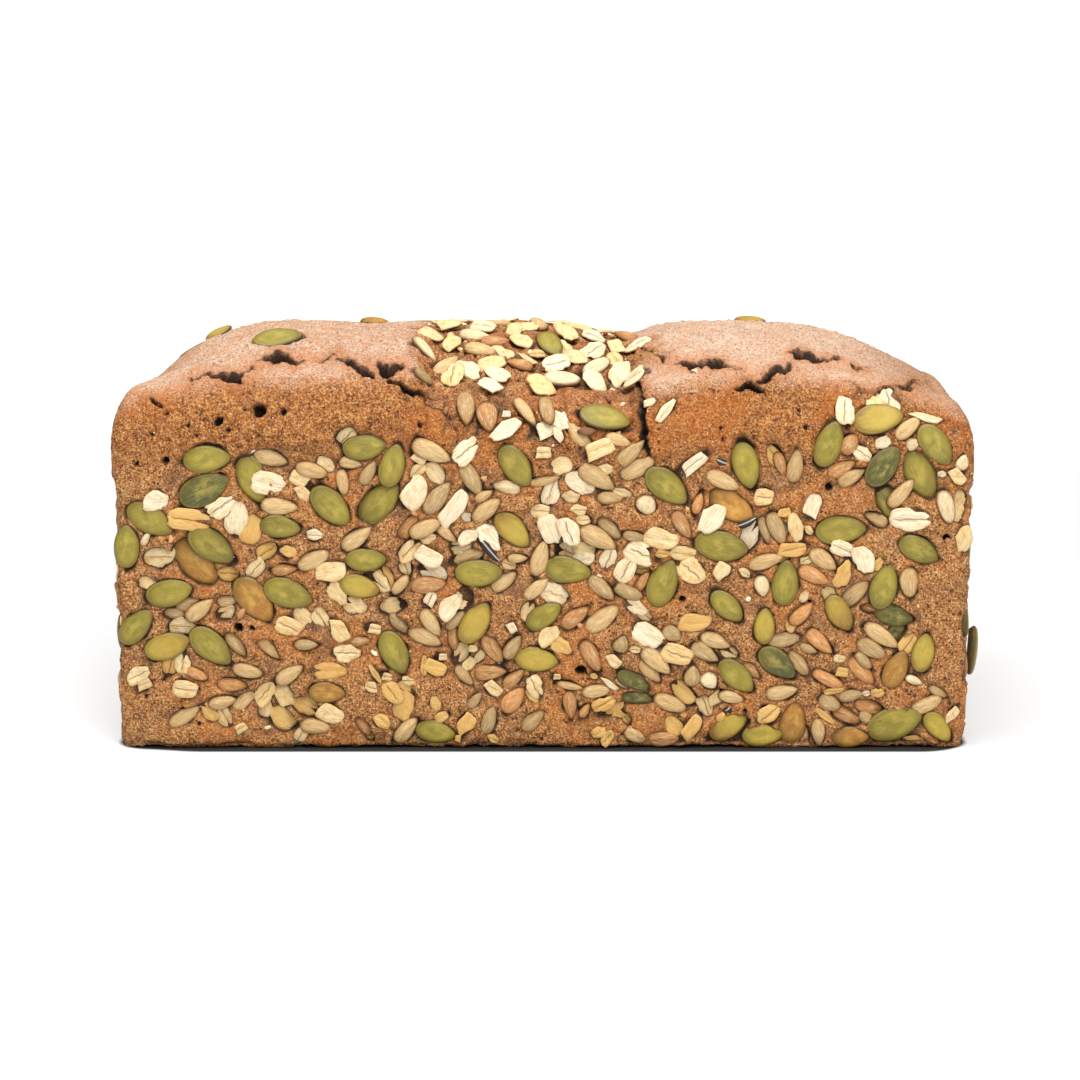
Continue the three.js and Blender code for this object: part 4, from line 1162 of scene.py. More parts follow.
def pumpkin_shape(n):
    length, width = REFERENCE["pumpkin"]
    rings = [(0.3, 0), (0.58, -0.05), (0.78, -0.17), (0.9, -0.36), (0.97, -0.66), (1.0, -1.05), (0.97, -1.4),
             (0.86, -2.3)]
    start = SHAPE_STARTS["pumpkin"] + n
    draw = np.random.default_rng(start)
    sag, bow = draw.uniform(-0.3, 0.15), draw.uniform(0.05, 0.35)

    def height(x, y, reach):
        hollow = sag * math.exp(-((y / 1.8) ** 2)) * (1 - reach)
        return hollow - bow * (x / 7) ** 2

    outline = pointed_outline(length, width, 0.62, 0.48, start + OUTLINE_START)
    return domed_shape(f"pumpkin_{n}", 26, rings, outline, height)


def kernel_shape(n):
    length, width = REFERENCE["kernel"]
    rings = [(0.3, -0.03), (0.58, -0.16), (0.8, -0.42), (0.93, -0.8), (1.0, -1.35), (0.82, -2.6)]
    start = SHAPE_STARTS["kernel"] + n
    draw = np.random.default_rng(start)
    ridge = draw.uniform(0.05, 0.3)
    phase = draw.uniform(0, 6)
    tip, blunt = draw.uniform(0.5, 0.8), draw.uniform(0.32, 0.46)

    def height(x, y, reach):
        drooping = 0.35 * abs(x / 4.9) ** 3 * (1 - 0.6 * reach)
        return ridge * math.cos(y * 2.6 + phase) * (1 - reach**2) - drooping

    outline = pointed_outline(length, width, tip, blunt, start + OUTLINE_START)
    return domed_shape(f"kernel_{n}", 18, rings, outline, height)


def oat_shape(n):
    length, width = REFERENCE["oat"]
    rings = [(0.3, 0.0), (0.62, -0.02), (0.88, -0.08), (1.0, -0.28), (0.94, -0.85)]
    start = SHAPE_STARTS["oat"] + n
    draw = np.random.default_rng(start)
    curl, twist = draw.uniform(-0.6, 0.45), draw.uniform(-0.5, 0.5)
    fold, ridge = draw.uniform(0.1, 0.35), draw.uniform(0.05, 0.16)
    phase = draw.uniform(0, 6)
    make_outline = flake_outline if n < WHOLE_FLAKES else broken_outline
    outline = make_outline(length, width, start + OUTLINE_START)

    def height(x, y, reach):
        rounded = curl * (x / 4) ** 2 + twist * x * y / 12 + ridge * math.cos(2.9 * y + phase)
        return rounded - fold * math.exp(-((y / 0.45) ** 2)) * (1 - 0.5 * reach)

    return domed_shape(f"oat_{n}", 20, rings, outline, height)


def crumb_shape(n):
    start = SHAPE_STARTS["crumb"] + n
    draw = np.random.default_rng(start)
    rings = [(0.6, 0.0), (1.0, -0.5), (0.7, -1.0)]

    def outline(angles):
        reach = draw.uniform(0.7, 1.25, len(angles))
        return np.stack([np.cos(angles) * reach * 0.9, np.sin(angles) * reach * 0.62], axis=-1)

    return domed_shape(f"crumb_{n}", 7, rings, outline, lambda x, y, reach: draw.uniform(-0.15, 0.15))


def hull_shape(n):
    rings = [(0.5, 0.0), (1.0, -0.18), (0.9, -0.5)]
    start = SHAPE_STARTS["hull"] + OUTLINE_START + n
    outline = pointed_outline(HULL_LENGTH, HULL_WIDTH, 0.9, 0.7, start)
    return domed_shape(f"hull_{n}", 10, rings, outline, lambda x, y, reach: -0.05 * x * x)


# ---------------------------------------------------------------- nodes
class Nodes:
    """A tree of nodes being built: nodes are added with their inputs by name, numbers or links alike."""

    def __init__(self, tree):
        self.nodes = tree.nodes
        self.links = tree.links

    def put(self, socket, value):
        if isinstance(value, bpy.types.NodeSocket):
            self.links.new(value, socket)
        elif socket.type == "RGBA" and len(value) == 3:
            socket.default_value = (*value, 1.0)
        else:
            socket.default_value = value

    def add(self, kind, settings=None, **inputs):
        node = self.nodes.new(kind)
        for name, value in (settings or {}).items():
            setattr(node, name, value)
        for name, value in inputs.items():
            self.put(node.inputs[name.replace("_", " ")], value)
        return node

    def math(self, operation, *values):
        node = self.add("ShaderNodeMath", {"operation": operation})
        for socket, value in zip(node.inputs, values):
            self.put(socket, value)
        return node.outputs[0]

    def plus(self, first, second):
        return self.math("ADD", first, second)

    def minus(self, first, second):
        return self.math("SUBTRACT", first, second)

    def times(self, first, second):
        return self.math("MULTIPLY", first, second)

    def scaled(self, value, share, more):
        """The value times a share, plus more."""
        return self.math("MULTIPLY_ADD", value, share, more)

    def length(self, x, y):
        return self.math("POWER", self.plus(self.times(x, x), self.times(y, y)), 0.5)


# ---------------------------------------------------------------- laying the seeds
def seeding_tree():
    """Lays one shape of a collection on each place, turned and sized by the place's own values."""
    tree = bpy.data.node_groups.new("lay_seeds", "GeometryNodeTree")
    sockets = {}
    for name, kind in (("Places", "Geometry"), ("Shapes", "Collection"), ("Swell", "Float"),
                       ("Rock", "Float"), ("Draw", "Int"), ("Finish", "Material")):
        sockets[name] = tree.interface.new_socket(name, in_out="INPUT", socket_type=f"NodeSocket{kind}")
    tree.interface.new_socket("Seeds", in_out="OUTPUT", socket_type="NodeSocketGeometry")
    f = Nodes(tree)
    given = f.add("NodeGroupInput").outputs

    def kept(name, kind):
        return f.add("GeometryNodeInputNamedAttribute", {"data_type": kind}, Name=name).outputs["Attribute"]

    shapes = f.add("GeometryNodeCollectionInfo", Collection=given["Shapes"],
                   Separate_Children=True, Reset_Children=True)
    swell = f.add("ShaderNodeVectorMath", {"operation": "SCALE"}, Scale=given["Swell"])
    f.put(swell.inputs[0], kept("size", "FLOAT_VECTOR"))
    laid = f.add("GeometryNodeInstanceOnPoints", Points=given["Places"], Instance=shapes.outputs["Instances"],
                 Pick_Instance=True, Instance_Index=kept("shape", "INT"),
                 Rotation=kept("turn", "FLOAT_VECTOR"), Scale=swell.outputs[0])
    rocking = f.add("FunctionNodeRandomValue", {"data_type": "FLOAT_VECTOR"}, Seed=given["Draw"])
    f.put(rocking.inputs[0], f.times(given["Rock"], -1))
    f.put(rocking.inputs[1], given["Rock"])
    rocked = f.add("GeometryNodeRotateInstances", Instances=laid.outputs[0], Rotation=rocking.outputs[0])
    real = f.add("GeometryNodeRealizeInstances", Geometry=rocked.outputs[0])
    finish = f.add("GeometryNodeSetMaterial", Geometry=real.outputs[0], Material=given["Finish"])
    f.add("NodeGroupOutput", Seeds=finish.outputs[0])
    return tree, {name: socket.identifier for name, socket in sockets.items()}


def euler_of(frames):
    """Turns in x, y, z order of frames whose columns are lengthways, sideways and out."""
    y = -np.arcsin(np.clip(frames[:, 2, 0], -1, 1))
    x = np.arctan2(frames[:, 2, 1], frames[:, 2, 2])
    z = np.arctan2(frames[:, 1, 0], frames[:, 0, 0])
    return np.stack([x, y, z], axis=-1)


def turned(vectors, axes, angles):
    """Vectors turned about unit axes by angles."""
    cosine, sine = np.cos(angles)[:, None], np.sin(angles)[:, None]
    dots = np.sum(vectors * axes, axis=1)[:, None]
    return vectors * cosine + np.cross(axes, vectors) * sine + axes * dots * (1 - cosine)


def lay_pieces(name, rows, shapes, material, tree, inputs, rock, swell=1.0):
    """One piece of all the seeds of a kind. A row has a place, a turn, sizes, a tilt and a look."""
    collection = bpy.data.collections.new(name + "_shapes")
    for mesh in shapes:
        collection.objects.link(bpy.data.objects.new(mesh.name, mesh))
    points, out, along, turn, pitch, roll = (
        np.array([row[key] for row in rows]) for key in ("point", "out", "along", "turn", "pitch", "roll")
    )
    lengthways = turned(along, out, np.radians(turn))
    sideways = np.cross(out, lengthways)
    out, lengthways = (turned(v, sideways, pitch) for v in (out, lengthways))
    out, sideways = (turned(v, lengthways, roll) for v in (out, sideways))
    mesh = bpy.data.meshes.new(name)
    mesh.vertices.add(len(rows))
    mesh.vertices.foreach_set("co", ((points + (SHIFT_X, 0, 0)) * MM).astype(np.float32).ravel())
    keep_value(mesh, "turn", euler_of(np.stack([lengthways, sideways, out], axis=-1)), "FLOAT_VECTOR")
    for key, kind in (("size", "FLOAT_VECTOR"), ("shape", "INT"), ("tone", "FLOAT"), ("chance", "FLOAT")):
        keep_value(mesh, key, [row[key] for row in rows], kind)
    thing = bpy.data.objects.new(name + "_places", mesh)
    bpy.context.scene.collection.objects.link(thing)
    laying = thing.modifiers.new("lay", "NODES")
    laying.node_group = tree
    settings = {"Shapes": collection, "Swell": swell, "Rock": math.radians(rock), "Draw": ROCK["draw"],
                "Finish": material}
    for key, value in settings.items():
        laying[inputs[key]] = value
    made = finished(thing, name)
    for shape in list(collection.objects):
        bpy.data.objects.remove(shape)
    bpy.data.collections.remove(collection)
    return made


# The place of a finish on its kind's scale of colours, from 0 to 1.
TONES = {
    "pumpkin": {"dark": 0.06, "green": 0.34, "olive": 0.62, "brown": 0.92},
    "kernel": {"pale": 0.04, "tan": 0.32, "grey": 0.52, "toasted": 0.76, "orange": 0.95},
    "oat": {"white": 0.08, "cream": 0.37, "golden": 0.74},
}
# How often each finish comes up where seeds lie by chance.
SHARES = {
    "pumpkin": {"dark": 0.1, "green": 0.54, "olive": 0.22, "brown": 0.14},
    "kernel": {"pale": 0.06, "tan": 0.4, "grey": 0.28, "toasted": 0.16, "orange": 0.1},
    "oat": {"white": 0.12, "cream": 0.5, "golden": 0.38},
}
PALER = {"golden": "cream", "cream": "white", "orange": "tan"}  # seeds by chance on the top are less baked
# Degrees by which seeds on top lean to the front, where that sets in along y, and how far beside the strip.
LEANING = {"least": 12.0, "most": 30.0, "lobe": 18.0, "from": 14.0, "to": -8.0, "beside": 4}
TILT = {"pumpkin": 3.0, "kernel": 4.0, "oat": 4.0}  # degrees, for seeds at the tin's wall
LOOSE_TILT = {"sink": 0.6, "most": 9.0}  # for those sunk deeper than this
PROUD = {"most": 0.9, "over": 25.0}  # seeds stand out more above the shoulder, growing over this distance
EDGE = 0.8  # where a seed's edge meets the dough, as a share of its half size
TILT_SUNK = 0.9  # a tilted seed lies deeper by this share of its edge's rise
THICKNESS = (0.85, 1.1)  # least and most, as a share of the shape's
SWELL = {"pumpkin": 1.03, "kernel": 1.08, "oat": 1.06}  # a little larger, as the dough covers their edges
ROCK = {"seeds": 1.0, "crumbs": 4.0, "draw": 7}  # further tilt in degrees, and where its draw starts


def shape_for(kind, length, draw):
    if kind != "oat":
        return int(draw.integers(SHAPES[kind]))
    whole = draw.uniform() < WHOLE_SHARE["long" if length >= WHOLE_LENGTH else "short"]
    return int(draw.integers(0, WHOLE_FLAKES) if whole else draw.integers(WHOLE_FLAKES, SHAPES["oat"]))


def tone_for(s, kind, draw):
    """A seed's listed finish or one by chance."""
    if s["tone"]:
        return s["tone"]
    shares = np.array(list(SHARES[kind].values()))
    tone = list(SHARES[kind])[int(draw.choice(len(shares), p=shares / shares.sum()))]
    return PALER.get(tone, tone) if s["side"] == "top" or s["v"] > SHOULDER else tone


def leant(s, along, out, draw):
    """The ways along and out of a seed on top, which leans to the front, and how far it leans."""
    lean = math.radians(draw.uniform(LEANING["least"], LEANING["most"]))
    inside = float(in_strip(s["u"], LEANING["beside"]))
    if s["tone"] and not inside:
        lean = math.radians(LEANING["lobe"])
    else:
        lean *= float(1 - smoothstep(s["v"], LEANING["to"], LEANING["from"])) * inside
    out = unit(out + (0, -math.tan(lean), 0))
    return unit(along - np.dot(along, out) * out), out, lean


def seed_rows(seeds, kind):
    """Places of one kind's seeds, ready to lay."""
    draw = np.random.default_rng(STARTS[kind])
    long, wide = REFERENCE[kind]
    rows = []
    for s in seeds:
        if s["kind"] != kind:
            continue
        tone = tone_for(s, kind, draw)
        point, along, out = place(s["side"], s["u"], s["v"])
        angle = math.radians(s["turn"])
        spread = abs(s["length"] / 2 * math.sin(angle)) + abs(s["width"] / 2 * math.cos(angle))
        if s["side"] not in ("top", "bottom") and s["v"] < spread + 0.2:  # it must not reach below the foot
            point, along, out = place(s["side"], s["u"], spread + 0.2)
        most = TILT[kind] if s["sink"] < LOOSE_TILT["sink"] else LOOSE_TILT["most"]
        pitch, roll = np.radians(draw.normal(0, most / 2, 2).clip(-most, most))
        rise = (abs(math.sin(pitch)) * s["length"] / 2 + abs(math.sin(roll)) * s["width"] / 2) * EDGE
        free = 0.0
        if s["side"] == "top":
            along, out, lean = leant(s, along, out, draw)
            free = PROUD["most"] + math.sin(lean) * spread * 0.5
        elif s["v"] > SHOULDER and s["side"] != "bottom":
            free = PROUD["most"] * min(1.0, (s["v"] - SHOULDER) / PROUD["over"])
        depth = RECESS + s["sink"] + rise * TILT_SUNK - free + abs(draw.normal(0, 0.12))
        rows.append({
            "point": point - out * depth, "along": along, "out": out,
            "turn": s["turn"], "pitch": pitch, "roll": roll,
            "size": (s["length"] / long, s["width"] / wide, draw.uniform(*THICKNESS)),
            "shape": shape_for(kind, s["length"], draw), "chance": draw.uniform(),
            "tone": float(np.clip(TONES[kind][tone] + draw.normal(0, 0.035), 0, 1)),
        })
    return rows


# How often a place for a crumb is drawn on each side.
CRUMBS = {"front": 420, "back": 420, "left": 170, "right": 170, "top": 150, "bottom": 140}
BARE_SKIPS = 0.75  # how often a crumb on bare dough is left out


def crumb_rows(seeds):
    """Grain bits, dough crumbs and scraps of hull between the seeds."""
    draw = np.random.default_rng(STARTS["crumb"])
    rows = []
    for side, tries in CRUMBS.items():
        area = area_of(side)
        field = Field(s for s in seeds if s["side"] == side)
        sunk = (-0.1, 0.8) if side == "top" else (0.5, 1.7)
        for _ in range(tries):
            u = area["middle"] + area["half"] * draw.uniform(-1, 1)
            v = draw.uniform(area["low"], area["high"])
            if not area["allowed"](u, v) and draw.uniform() < BARE_SKIPS:
                continue
            if not field.clear(seed("oat", side, u, v, 0, 1.0), 1.0):
                continue
            point, along, out = place(side, u, v)
            size = draw.uniform(0.5, 1.5) * (1.5 if draw.uniform() < 0.2 else 1)
            rows.append({
                "point": point - out * draw.uniform(*sunk), "along": along, "out": out,
                "turn": draw.uniform(0, 360), "pitch": draw.normal(0, 0.25), "roll": draw.normal(0, 0.25),
                "size": (size * 1.2, size, size), "shape": int(draw.integers(CRUMB_SHAPES)),
                "chance": draw.uniform(), "tone": draw.uniform(0, 0.8),
            })
    for n, (x, z, turn, length, tone) in enumerate(FRONT_HULLS):
        side, u, v = seen_place(x, z)
        point, along, out = place(side, u, v)
        rows.append({
            "point": point - out * 0.3, "along": along, "out": out, "turn": turn, "pitch": 0.0, "roll": 0.1,
            "size": (length / HULL_LENGTH, 1, 1), "shape": CRUMB_SHAPES + n % HULL_SHAPES,
            "chance": draw.uniform(), "tone": tone,
        })
    return rows


# ---------------------------------------------------------------- finishes
class Finish(Nodes):
    """A material being built."""

    def __init__(self, name):
        self.material = bpy.data.materials.new(name)
        self.material.use_nodes = True
        super().__init__(self.material.node_tree)
        self.shader = self.nodes["Principled BSDF"]

    def value(self, name):
        return self.add("ShaderNodeAttribute", {"attribute_name": name}).outputs["Fac"]

    def vector(self, name):
        return self.add("ShaderNodeAttribute", {"attribute_name": name}).outputs["Vector"]

    def place(self):
        return self.add("ShaderNodeTexCoord").outputs["Object"]

    def noise(self, place, scale, detail=3.0, roughness=0.55):
        return self.add("ShaderNodeTexNoise", Vector=place, Scale=scale, Detail=detail,
                        Roughness=roughness).outputs["Fac"]

    def cells(self, place, scale):
        return self.add("ShaderNodeTexVoronoi", Vector=place, Scale=scale)

    def stretched(self, vector, scale, offset):
        return self.add("ShaderNodeMapping", Vector=vector, Scale=scale, Location=offset).outputs[0]

    def ramp(self, value, *stops):
        """A scale of colours: each stop is its position, red, green and blue."""
        node = self.add("ShaderNodeValToRGB", Fac=value)
        elements = node.color_ramp.elements
        while len(elements) < len(stops):
            elements.new(0.5)
        for element, (position, *colour) in zip(elements, stops):
            element.position = position
            element.color = (*srgb(*colour), 1.0)
        return node.outputs["Color"]

    def between(self, value, low, high):
        """0 below low and 1 above high."""
        return self.add("ShaderNodeMapRange", {"interpolation_type": "SMOOTHSTEP"}, Value=value,
                        From_Min=low, From_Max=high).outputs["Result"]

    def mix(self, share, first, second, blend="MIX"):
        node = self.add("ShaderNodeMix", {"data_type": "RGBA", "blend_type": blend})
        self.put(node.inputs[0], share)
        self.put(node.inputs[6], first)
        self.put(node.inputs[7], second)
        return node.outputs[2]

    def tint(self, colour, share, most, red, green, blue):
        """The colour, drawn towards another by a share of at most so much."""
        return self.mix(self.times(share, most), colour, srgb(red, green, blue))

    def bump(self, height, distance, strength=1.0):
        return self.add("ShaderNodeBump", Height=height, Distance=distance, Strength=strength).outputs[0]

    def finish(self, colour, roughness, height, depth, strength=1.0, shine=None):
        """Gives the shader its colour, roughness and bump, and what share of the light it reflects."""
        inputs = self.shader.inputs
        self.put(inputs["Base Color"], colour)
        self.put(inputs["Roughness"], roughness)
        self.put(inputs["Normal"], self.bump(height, depth, strength))
        if shine is not None:
            inputs["Specular IOR Level"].default_value = shine
        return self.material


def srgb(red, green, blue):
    """A colour as seen, from 0 to 255, as a linear one."""
    return tuple(((c / 255 + 0.055) / 1.055) ** 2.4 if c > 10 else c / 3294.6 for c in (red, green, blue))


def specks_in(f, at):
    """Where the crust has pale specks and where dark ones."""
    specks = f.cells(at, 1900)
    away = specks.outputs["Distance"]
    chance = f.add("ShaderNodeSeparateColor", Color=specks.outputs["Color"]).outputs
    pale = f.times(f.between(chance["Red"], 0.72, 0.86), f.between(away, 0.6, 0.3))
    dark = f.times(f.between(chance["Green"], 0.74, 0.88), f.between(away, 0.65, 0.35))
    return pale, dark


def dough_colour(f, at, height, grainy, blotchy, pale):
    """Dough that baked against the tin, greyer above the seeds."""
    dough = f.ramp(grainy, (0.39, 86, 46, 22), (0.455, 152, 94, 46), (0.53, 194, 132, 74),
                   (0.62, 236, 188, 126))
    dough = f.tint(dough, f.between(f.noise(at, 42, 3), 0.45, 0.62), 0.5, 200, 118, 48)
    dough = f.tint(dough, f.between(blotchy, 0.5, 0.68), 0.35, 152, 104, 70)
    dough = f.tint(dough, pale, 0.65, 244, 212, 160)
    return f.mix(f.between(height, 0.076, 0.092), dough, srgb(238, 224, 204), "MULTIPLY")


def top_colour(f, at, across, top, torn, grainy, blotchy, pale):
    """The dusty top crust, browner towards the walls and along the cracks, and paler towards the right end,
    where light is painted in.
    """
    baked = f.ramp(grainy, (0.38, 142, 84, 52), (0.45, 200, 150, 112), (0.53, 226, 192, 162),
                   (0.63, 250, 232, 212))
    baked = f.tint(baked, f.between(f.noise(at, 420, 4, 0.7), 0.52, 0.6), 0.6, 184, 108, 62)
    crags = f.noise(at, 190, 4, 0.65)
    browner = f.scaled(f.between(top, 0.8, 1.0), -0.4, 0.85)
    baked = f.tint(baked, f.between(crags, 0.44, 0.58), browner, 204, 130, 76)
    baked = f.tint(baked, f.between(crags, 0.46, 0.36), 0.4, 208, 180, 164)
    baked = f.tint(baked, f.between(blotchy, 0.5, 0.68), 0.3, 180, 118, 80)
    baked = f.tint(baked, pale, 0.75, 250, 230, 204)
    # Flour dust, growing towards the right end as painted light.
    dust_and_painted_light = f.scaled(f.between(across, 0.0, 0.06), 0.2, 0.14)
    baked = f.mix(dust_and_painted_light, baked, srgb(240, 212, 186))
    return f.tint(baked, torn, 0.6, 196, 122, 66)


def pores_in(f, at, top):
    """Where the crust has small open pores, fewer on top, to be painted dark as shade."""
    size = f.times(f.between(f.noise(at, 260, 1), 0.5, 0.8), 0.36)
    away = f.minus(f.cells(at, 620).outputs["Distance"], size)
    pore = f.minus(1.0, f.between(away, 0.0, 0.1))
    return f.times(pore, f.scaled(top, -0.85, 1.0))


def glints_in(f, at):
    """Where a few grains of salt and sugar lie, painted bright: partly their own white, partly a painted
    glint.
    """
    glints = f.cells(at, 900)
    chance = f.add("ShaderNodeSeparateColor", Color=glints.outputs["Color"]).outputs["Red"]
    near = f.minus(1.0, f.between(glints.outputs["Distance"], 0.1, 0.25))
    return f.times(f.between(chance, 0.965, 0.97), near)


def crust_finish():
    f = Finish("crust")
    at = f.place()
    across, _, height = f.add("ShaderNodeSeparateXYZ", Vector=at).outputs
    depth, seeded, top, crack, gap, torn = (
        f.value(name) for name in ("depth", "seeded", "top", "crack", "gap", "torn")
    )
    blotchy = f.noise(at, 150, 4, 0.6)
    grainy = f.plus(f.times(f.noise(at, 1500, 3, 0.7), 0.7), f.times(f.noise(at, 420, 4, 0.65), 0.3))
    pale, dark = specks_in(f, at)
    dough = dough_colour(f, at, height, grainy, blotchy, pale)
    baked = top_colour(f, at, across, top, torn, grainy, blotchy, pale)
    dusty = f.times(top, f.scaled(f.between(across, 0.086, 0.116), -0.5, 1.0))
    colour = f.mix(f.times(dusty, f.scaled(seeded, -0.9, 1.0)), dough, baked)
    colour = f.tint(colour, dark, 0.6, 112, 62, 32)
    # Dough lying back between the seeds: partly its own darker colour, partly painted shade; the deepest
    # places get painted shade alone.
    inner = f.ramp(grainy, (0.36, 96, 60, 38), (0.5, 146, 98, 62), (0.64, 196, 146, 98))
    inner = f.tint(inner, pale, 0.5, 224, 184, 134)
    sunk = f.minus(depth, f.times(top, 0.8))
    colour = f.mix(f.between(sunk, 0.8, 1.9), colour, inner)
    colour = f.tint(colour, f.between(sunk, 1.5, 2.7), 0.75, 50, 29, 18)
    pore = pores_in(f, at, top)
    # Painted shade in the pores.
    colour = f.tint(colour, pore, 0.8, 64, 36, 22)
    # Painted shade in the gaps round the seeds and in the strip's folds.
    colour = f.tint(colour, gap, 0.95, 32, 18, 11)
    # Painted shade in the cracks and gas holes.
    colour = f.tint(colour, crack, 0.92, 30, 17, 12)
    # Painted glints on grains of salt and sugar.
    colour = f.tint(colour, glints_in(f, at), 0.8, 252, 240, 220)
    bumps = f.plus(grainy, f.times(f.minus(pale, dark), 0.16))
    bumps = f.minus(bumps, f.times(pore, 0.6))
    return f.finish(colour, f.scaled(grainy, 0.25, 0.62), bumps, 0.0013, shine=0.3)


def seed_parts(f, kind, spread):
    """What every seed's finish starts from: grain, its parts, tone, chance, offset and reach."""
    grain = f.vector("grain")
    parts = f.add("ShaderNodeSeparateXYZ", Vector=grain).outputs
    chance = f.value("chance")
    offset = f.add("ShaderNodeCombineXYZ", X=f.times(chance, spread), Y=chance, Z=chance).outputs[0]
    long, wide = REFERENCE[kind]
    x = f.math("DIVIDE", parts[0], long / 2)
    y = f.math("DIVIDE", parts[1], wide / 2)
    return grain, parts, f.value("tone"), chance, offset, x, f.length(x, y)


def pumpkin_finish():
    f = Finish("pumpkin_seed")
    grain, parts, tone, chance, offset, x, reach = seed_parts(f, "pumpkin", 37)
    mottle = f.noise(f.stretched(grain, (0.22, 0.3, 0.3), offset), 1.6, 4)
    streak = f.noise(f.stretched(grain, (0.12, 1.6, 1), offset), 2.4, 3)
    way = f.math("SINE", f.times(chance, 40))
    drift = f.times(x, f.times(way, 0.09))  # each seed is riper towards one end
    place = f.plus(f.scaled(mottle, 0.3, f.minus(tone, 0.15)), drift)
    colour = f.ramp(place, (0.0, 74, 74, 32), (0.14, 104, 98, 36), (0.3, 134, 120, 38),
                    (0.45, 156, 138, 44), (0.6, 180, 152, 54), (0.75, 140, 98, 32),
                    (0.9, 160, 108, 38), (1.0, 200, 138, 56))
    # Paler middle: partly the seed's own colour, partly painted sheen.
    middle = f.times(f.between(reach, 0.85, 0.1), f.between(mottle, 0.42, 0.64))
    colour = f.tint(colour, middle, 0.4, 200, 178, 86)
    colour = f.tint(colour, f.between(streak, 0.52, 0.7), 0.25, 204, 180, 90)
    # Darker towards the outline: partly the seed's own rim, partly painted shade at its edge.
    colour = f.tint(colour, f.between(reach, 0.6, 0.96), 0.6, 96, 80, 24)
    # A thin pale line along the edge: partly the seed's own margin, partly a painted highlight.
    edge = f.times(f.between(reach, 0.86, 0.92), f.between(reach, 0.99, 0.95))
    colour = f.tint(colour, edge, 0.18, 206, 174, 84)
    colour = f.tint(colour, f.between(x, 0.78, 1.0), 0.5, 140, 102, 46)
    # Painted shade on the sides below the face.
    colour = f.tint(colour, f.between(parts[2], -0.3, -1.0), 0.85, 64, 46, 20)
    height = f.plus(f.times(streak, 0.6), f.noise(grain, 3.2, 3))
    return f.finish(colour, f.scaled(mottle, 0.3, 0.22), height, 0.0004, 0.4, shine=0.45)


def kernel_finish():
    f = Finish("sunflower_kernel")
    grain, parts, tone, _, offset, x, reach = seed_parts(f, "kernel", 53)
    mottle = f.noise(f.stretched(grain, (0.3, 0.5, 0.5), offset), 1.5, 4)
    streak = f.noise(f.stretched(grain, (0.16, 2.2, 1.5), offset), 2.2, 4)
    colour = f.ramp(f.scaled(mottle, 0.3, f.minus(tone, 0.15)), (0.0, 236, 216, 174),
                    (0.2, 214, 180, 124), (0.4, 198, 158, 100), (0.55, 168, 138, 90),
                    (0.75, 178, 122, 66), (1.0, 210, 140, 74))
    # Paler middle: partly the seed's own colour, partly a painted highlight.
    middle = f.times(f.between(reach, 0.7, 0.1), f.between(mottle, 0.42, 0.62))
    colour = f.tint(colour, middle, 0.35, 232, 206, 156)
    colour = f.tint(colour, f.between(streak, 0.52, 0.66), 0.5, 150, 106, 58)
    colour = f.tint(colour, f.between(streak, 0.48, 0.36), 0.4, 242, 222, 178)
    # Browner towards the outline: partly toasting, partly painted shade at its edge.
    colour = f.tint(colour, f.between(reach, 0.72, 0.98), 0.5, 164, 112, 56)
    colour = f.tint(colour, f.between(x, 0.66, 1.0), 0.45, 166, 108, 54)
    # Painted shade on the sides below the face.
    colour = f.tint(colour, f.between(parts[2], -0.4, -1.3), 0.85, 84, 54, 28)
    height = f.minus(mottle, streak)
    return f.finish(colour, f.scaled(mottle, 0.25, 0.34), height, 0.0006, 0.6, shine=0.4)


def oat_finish():
    f = Finish("oat_flake")
    grain, parts, tone, chance, offset, _, reach = seed_parts(f, "oat", 71)
    mottle = f.noise(f.stretched(grain, (0.4, 0.5, 0.5), offset), 1.2, 4)
    streak = f.noise(f.stretched(grain, (0.2, 1.5, 1), offset), 2.0, 4)
    colour = f.ramp(f.scaled(mottle, 0.34, f.minus(tone, 0.17)),
                    (0.0, 242, 228, 196), (0.3, 236, 212, 162), (0.55, 226, 188, 120),
                    (0.8, 224, 178, 100), (1.0, 208, 152, 76))
    colour = f.tint(colour, f.between(streak, 0.5, 0.62), 0.55, 220, 170, 104)
    toasted = f.times(f.between(mottle, 0.54, 0.68), f.between(tone, -0.1, 0.3))
    colour = f.tint(colour, toasted, 0.5, 216, 150, 80)
    colour = f.tint(colour, f.between(reach, 0.78, 1.05), 0.35, 214, 164, 98)
    wander = f.scaled(f.noise(f.stretched(grain, (0.35, 0, 0), offset), 1.5, 2), 1.6, -0.8)
    groove = f.math("ABSOLUTE", f.plus(parts[1], wander))
    line = f.between(groove, 0.26, 0.04)
    short = f.between(f.math("ABSOLUTE", parts[0]), 3.7, 2.4)
    line = f.times(f.times(line, short), f.between(chance, 0.5, 0.75))
    colour = f.tint(colour, line, 0.6, 168, 106, 52)
    # Painted shade on the sides below the face.
    colour = f.tint(colour, f.between(parts[2], -0.15, -0.7), 0.7, 136, 90, 48)
    height = f.minus(f.times(f.minus(mottle, streak), 0.9), line)
    return f.finish(colour, f.scaled(mottle, 0.2, 0.55), height, 0.0007, 0.8, shine=0.3)


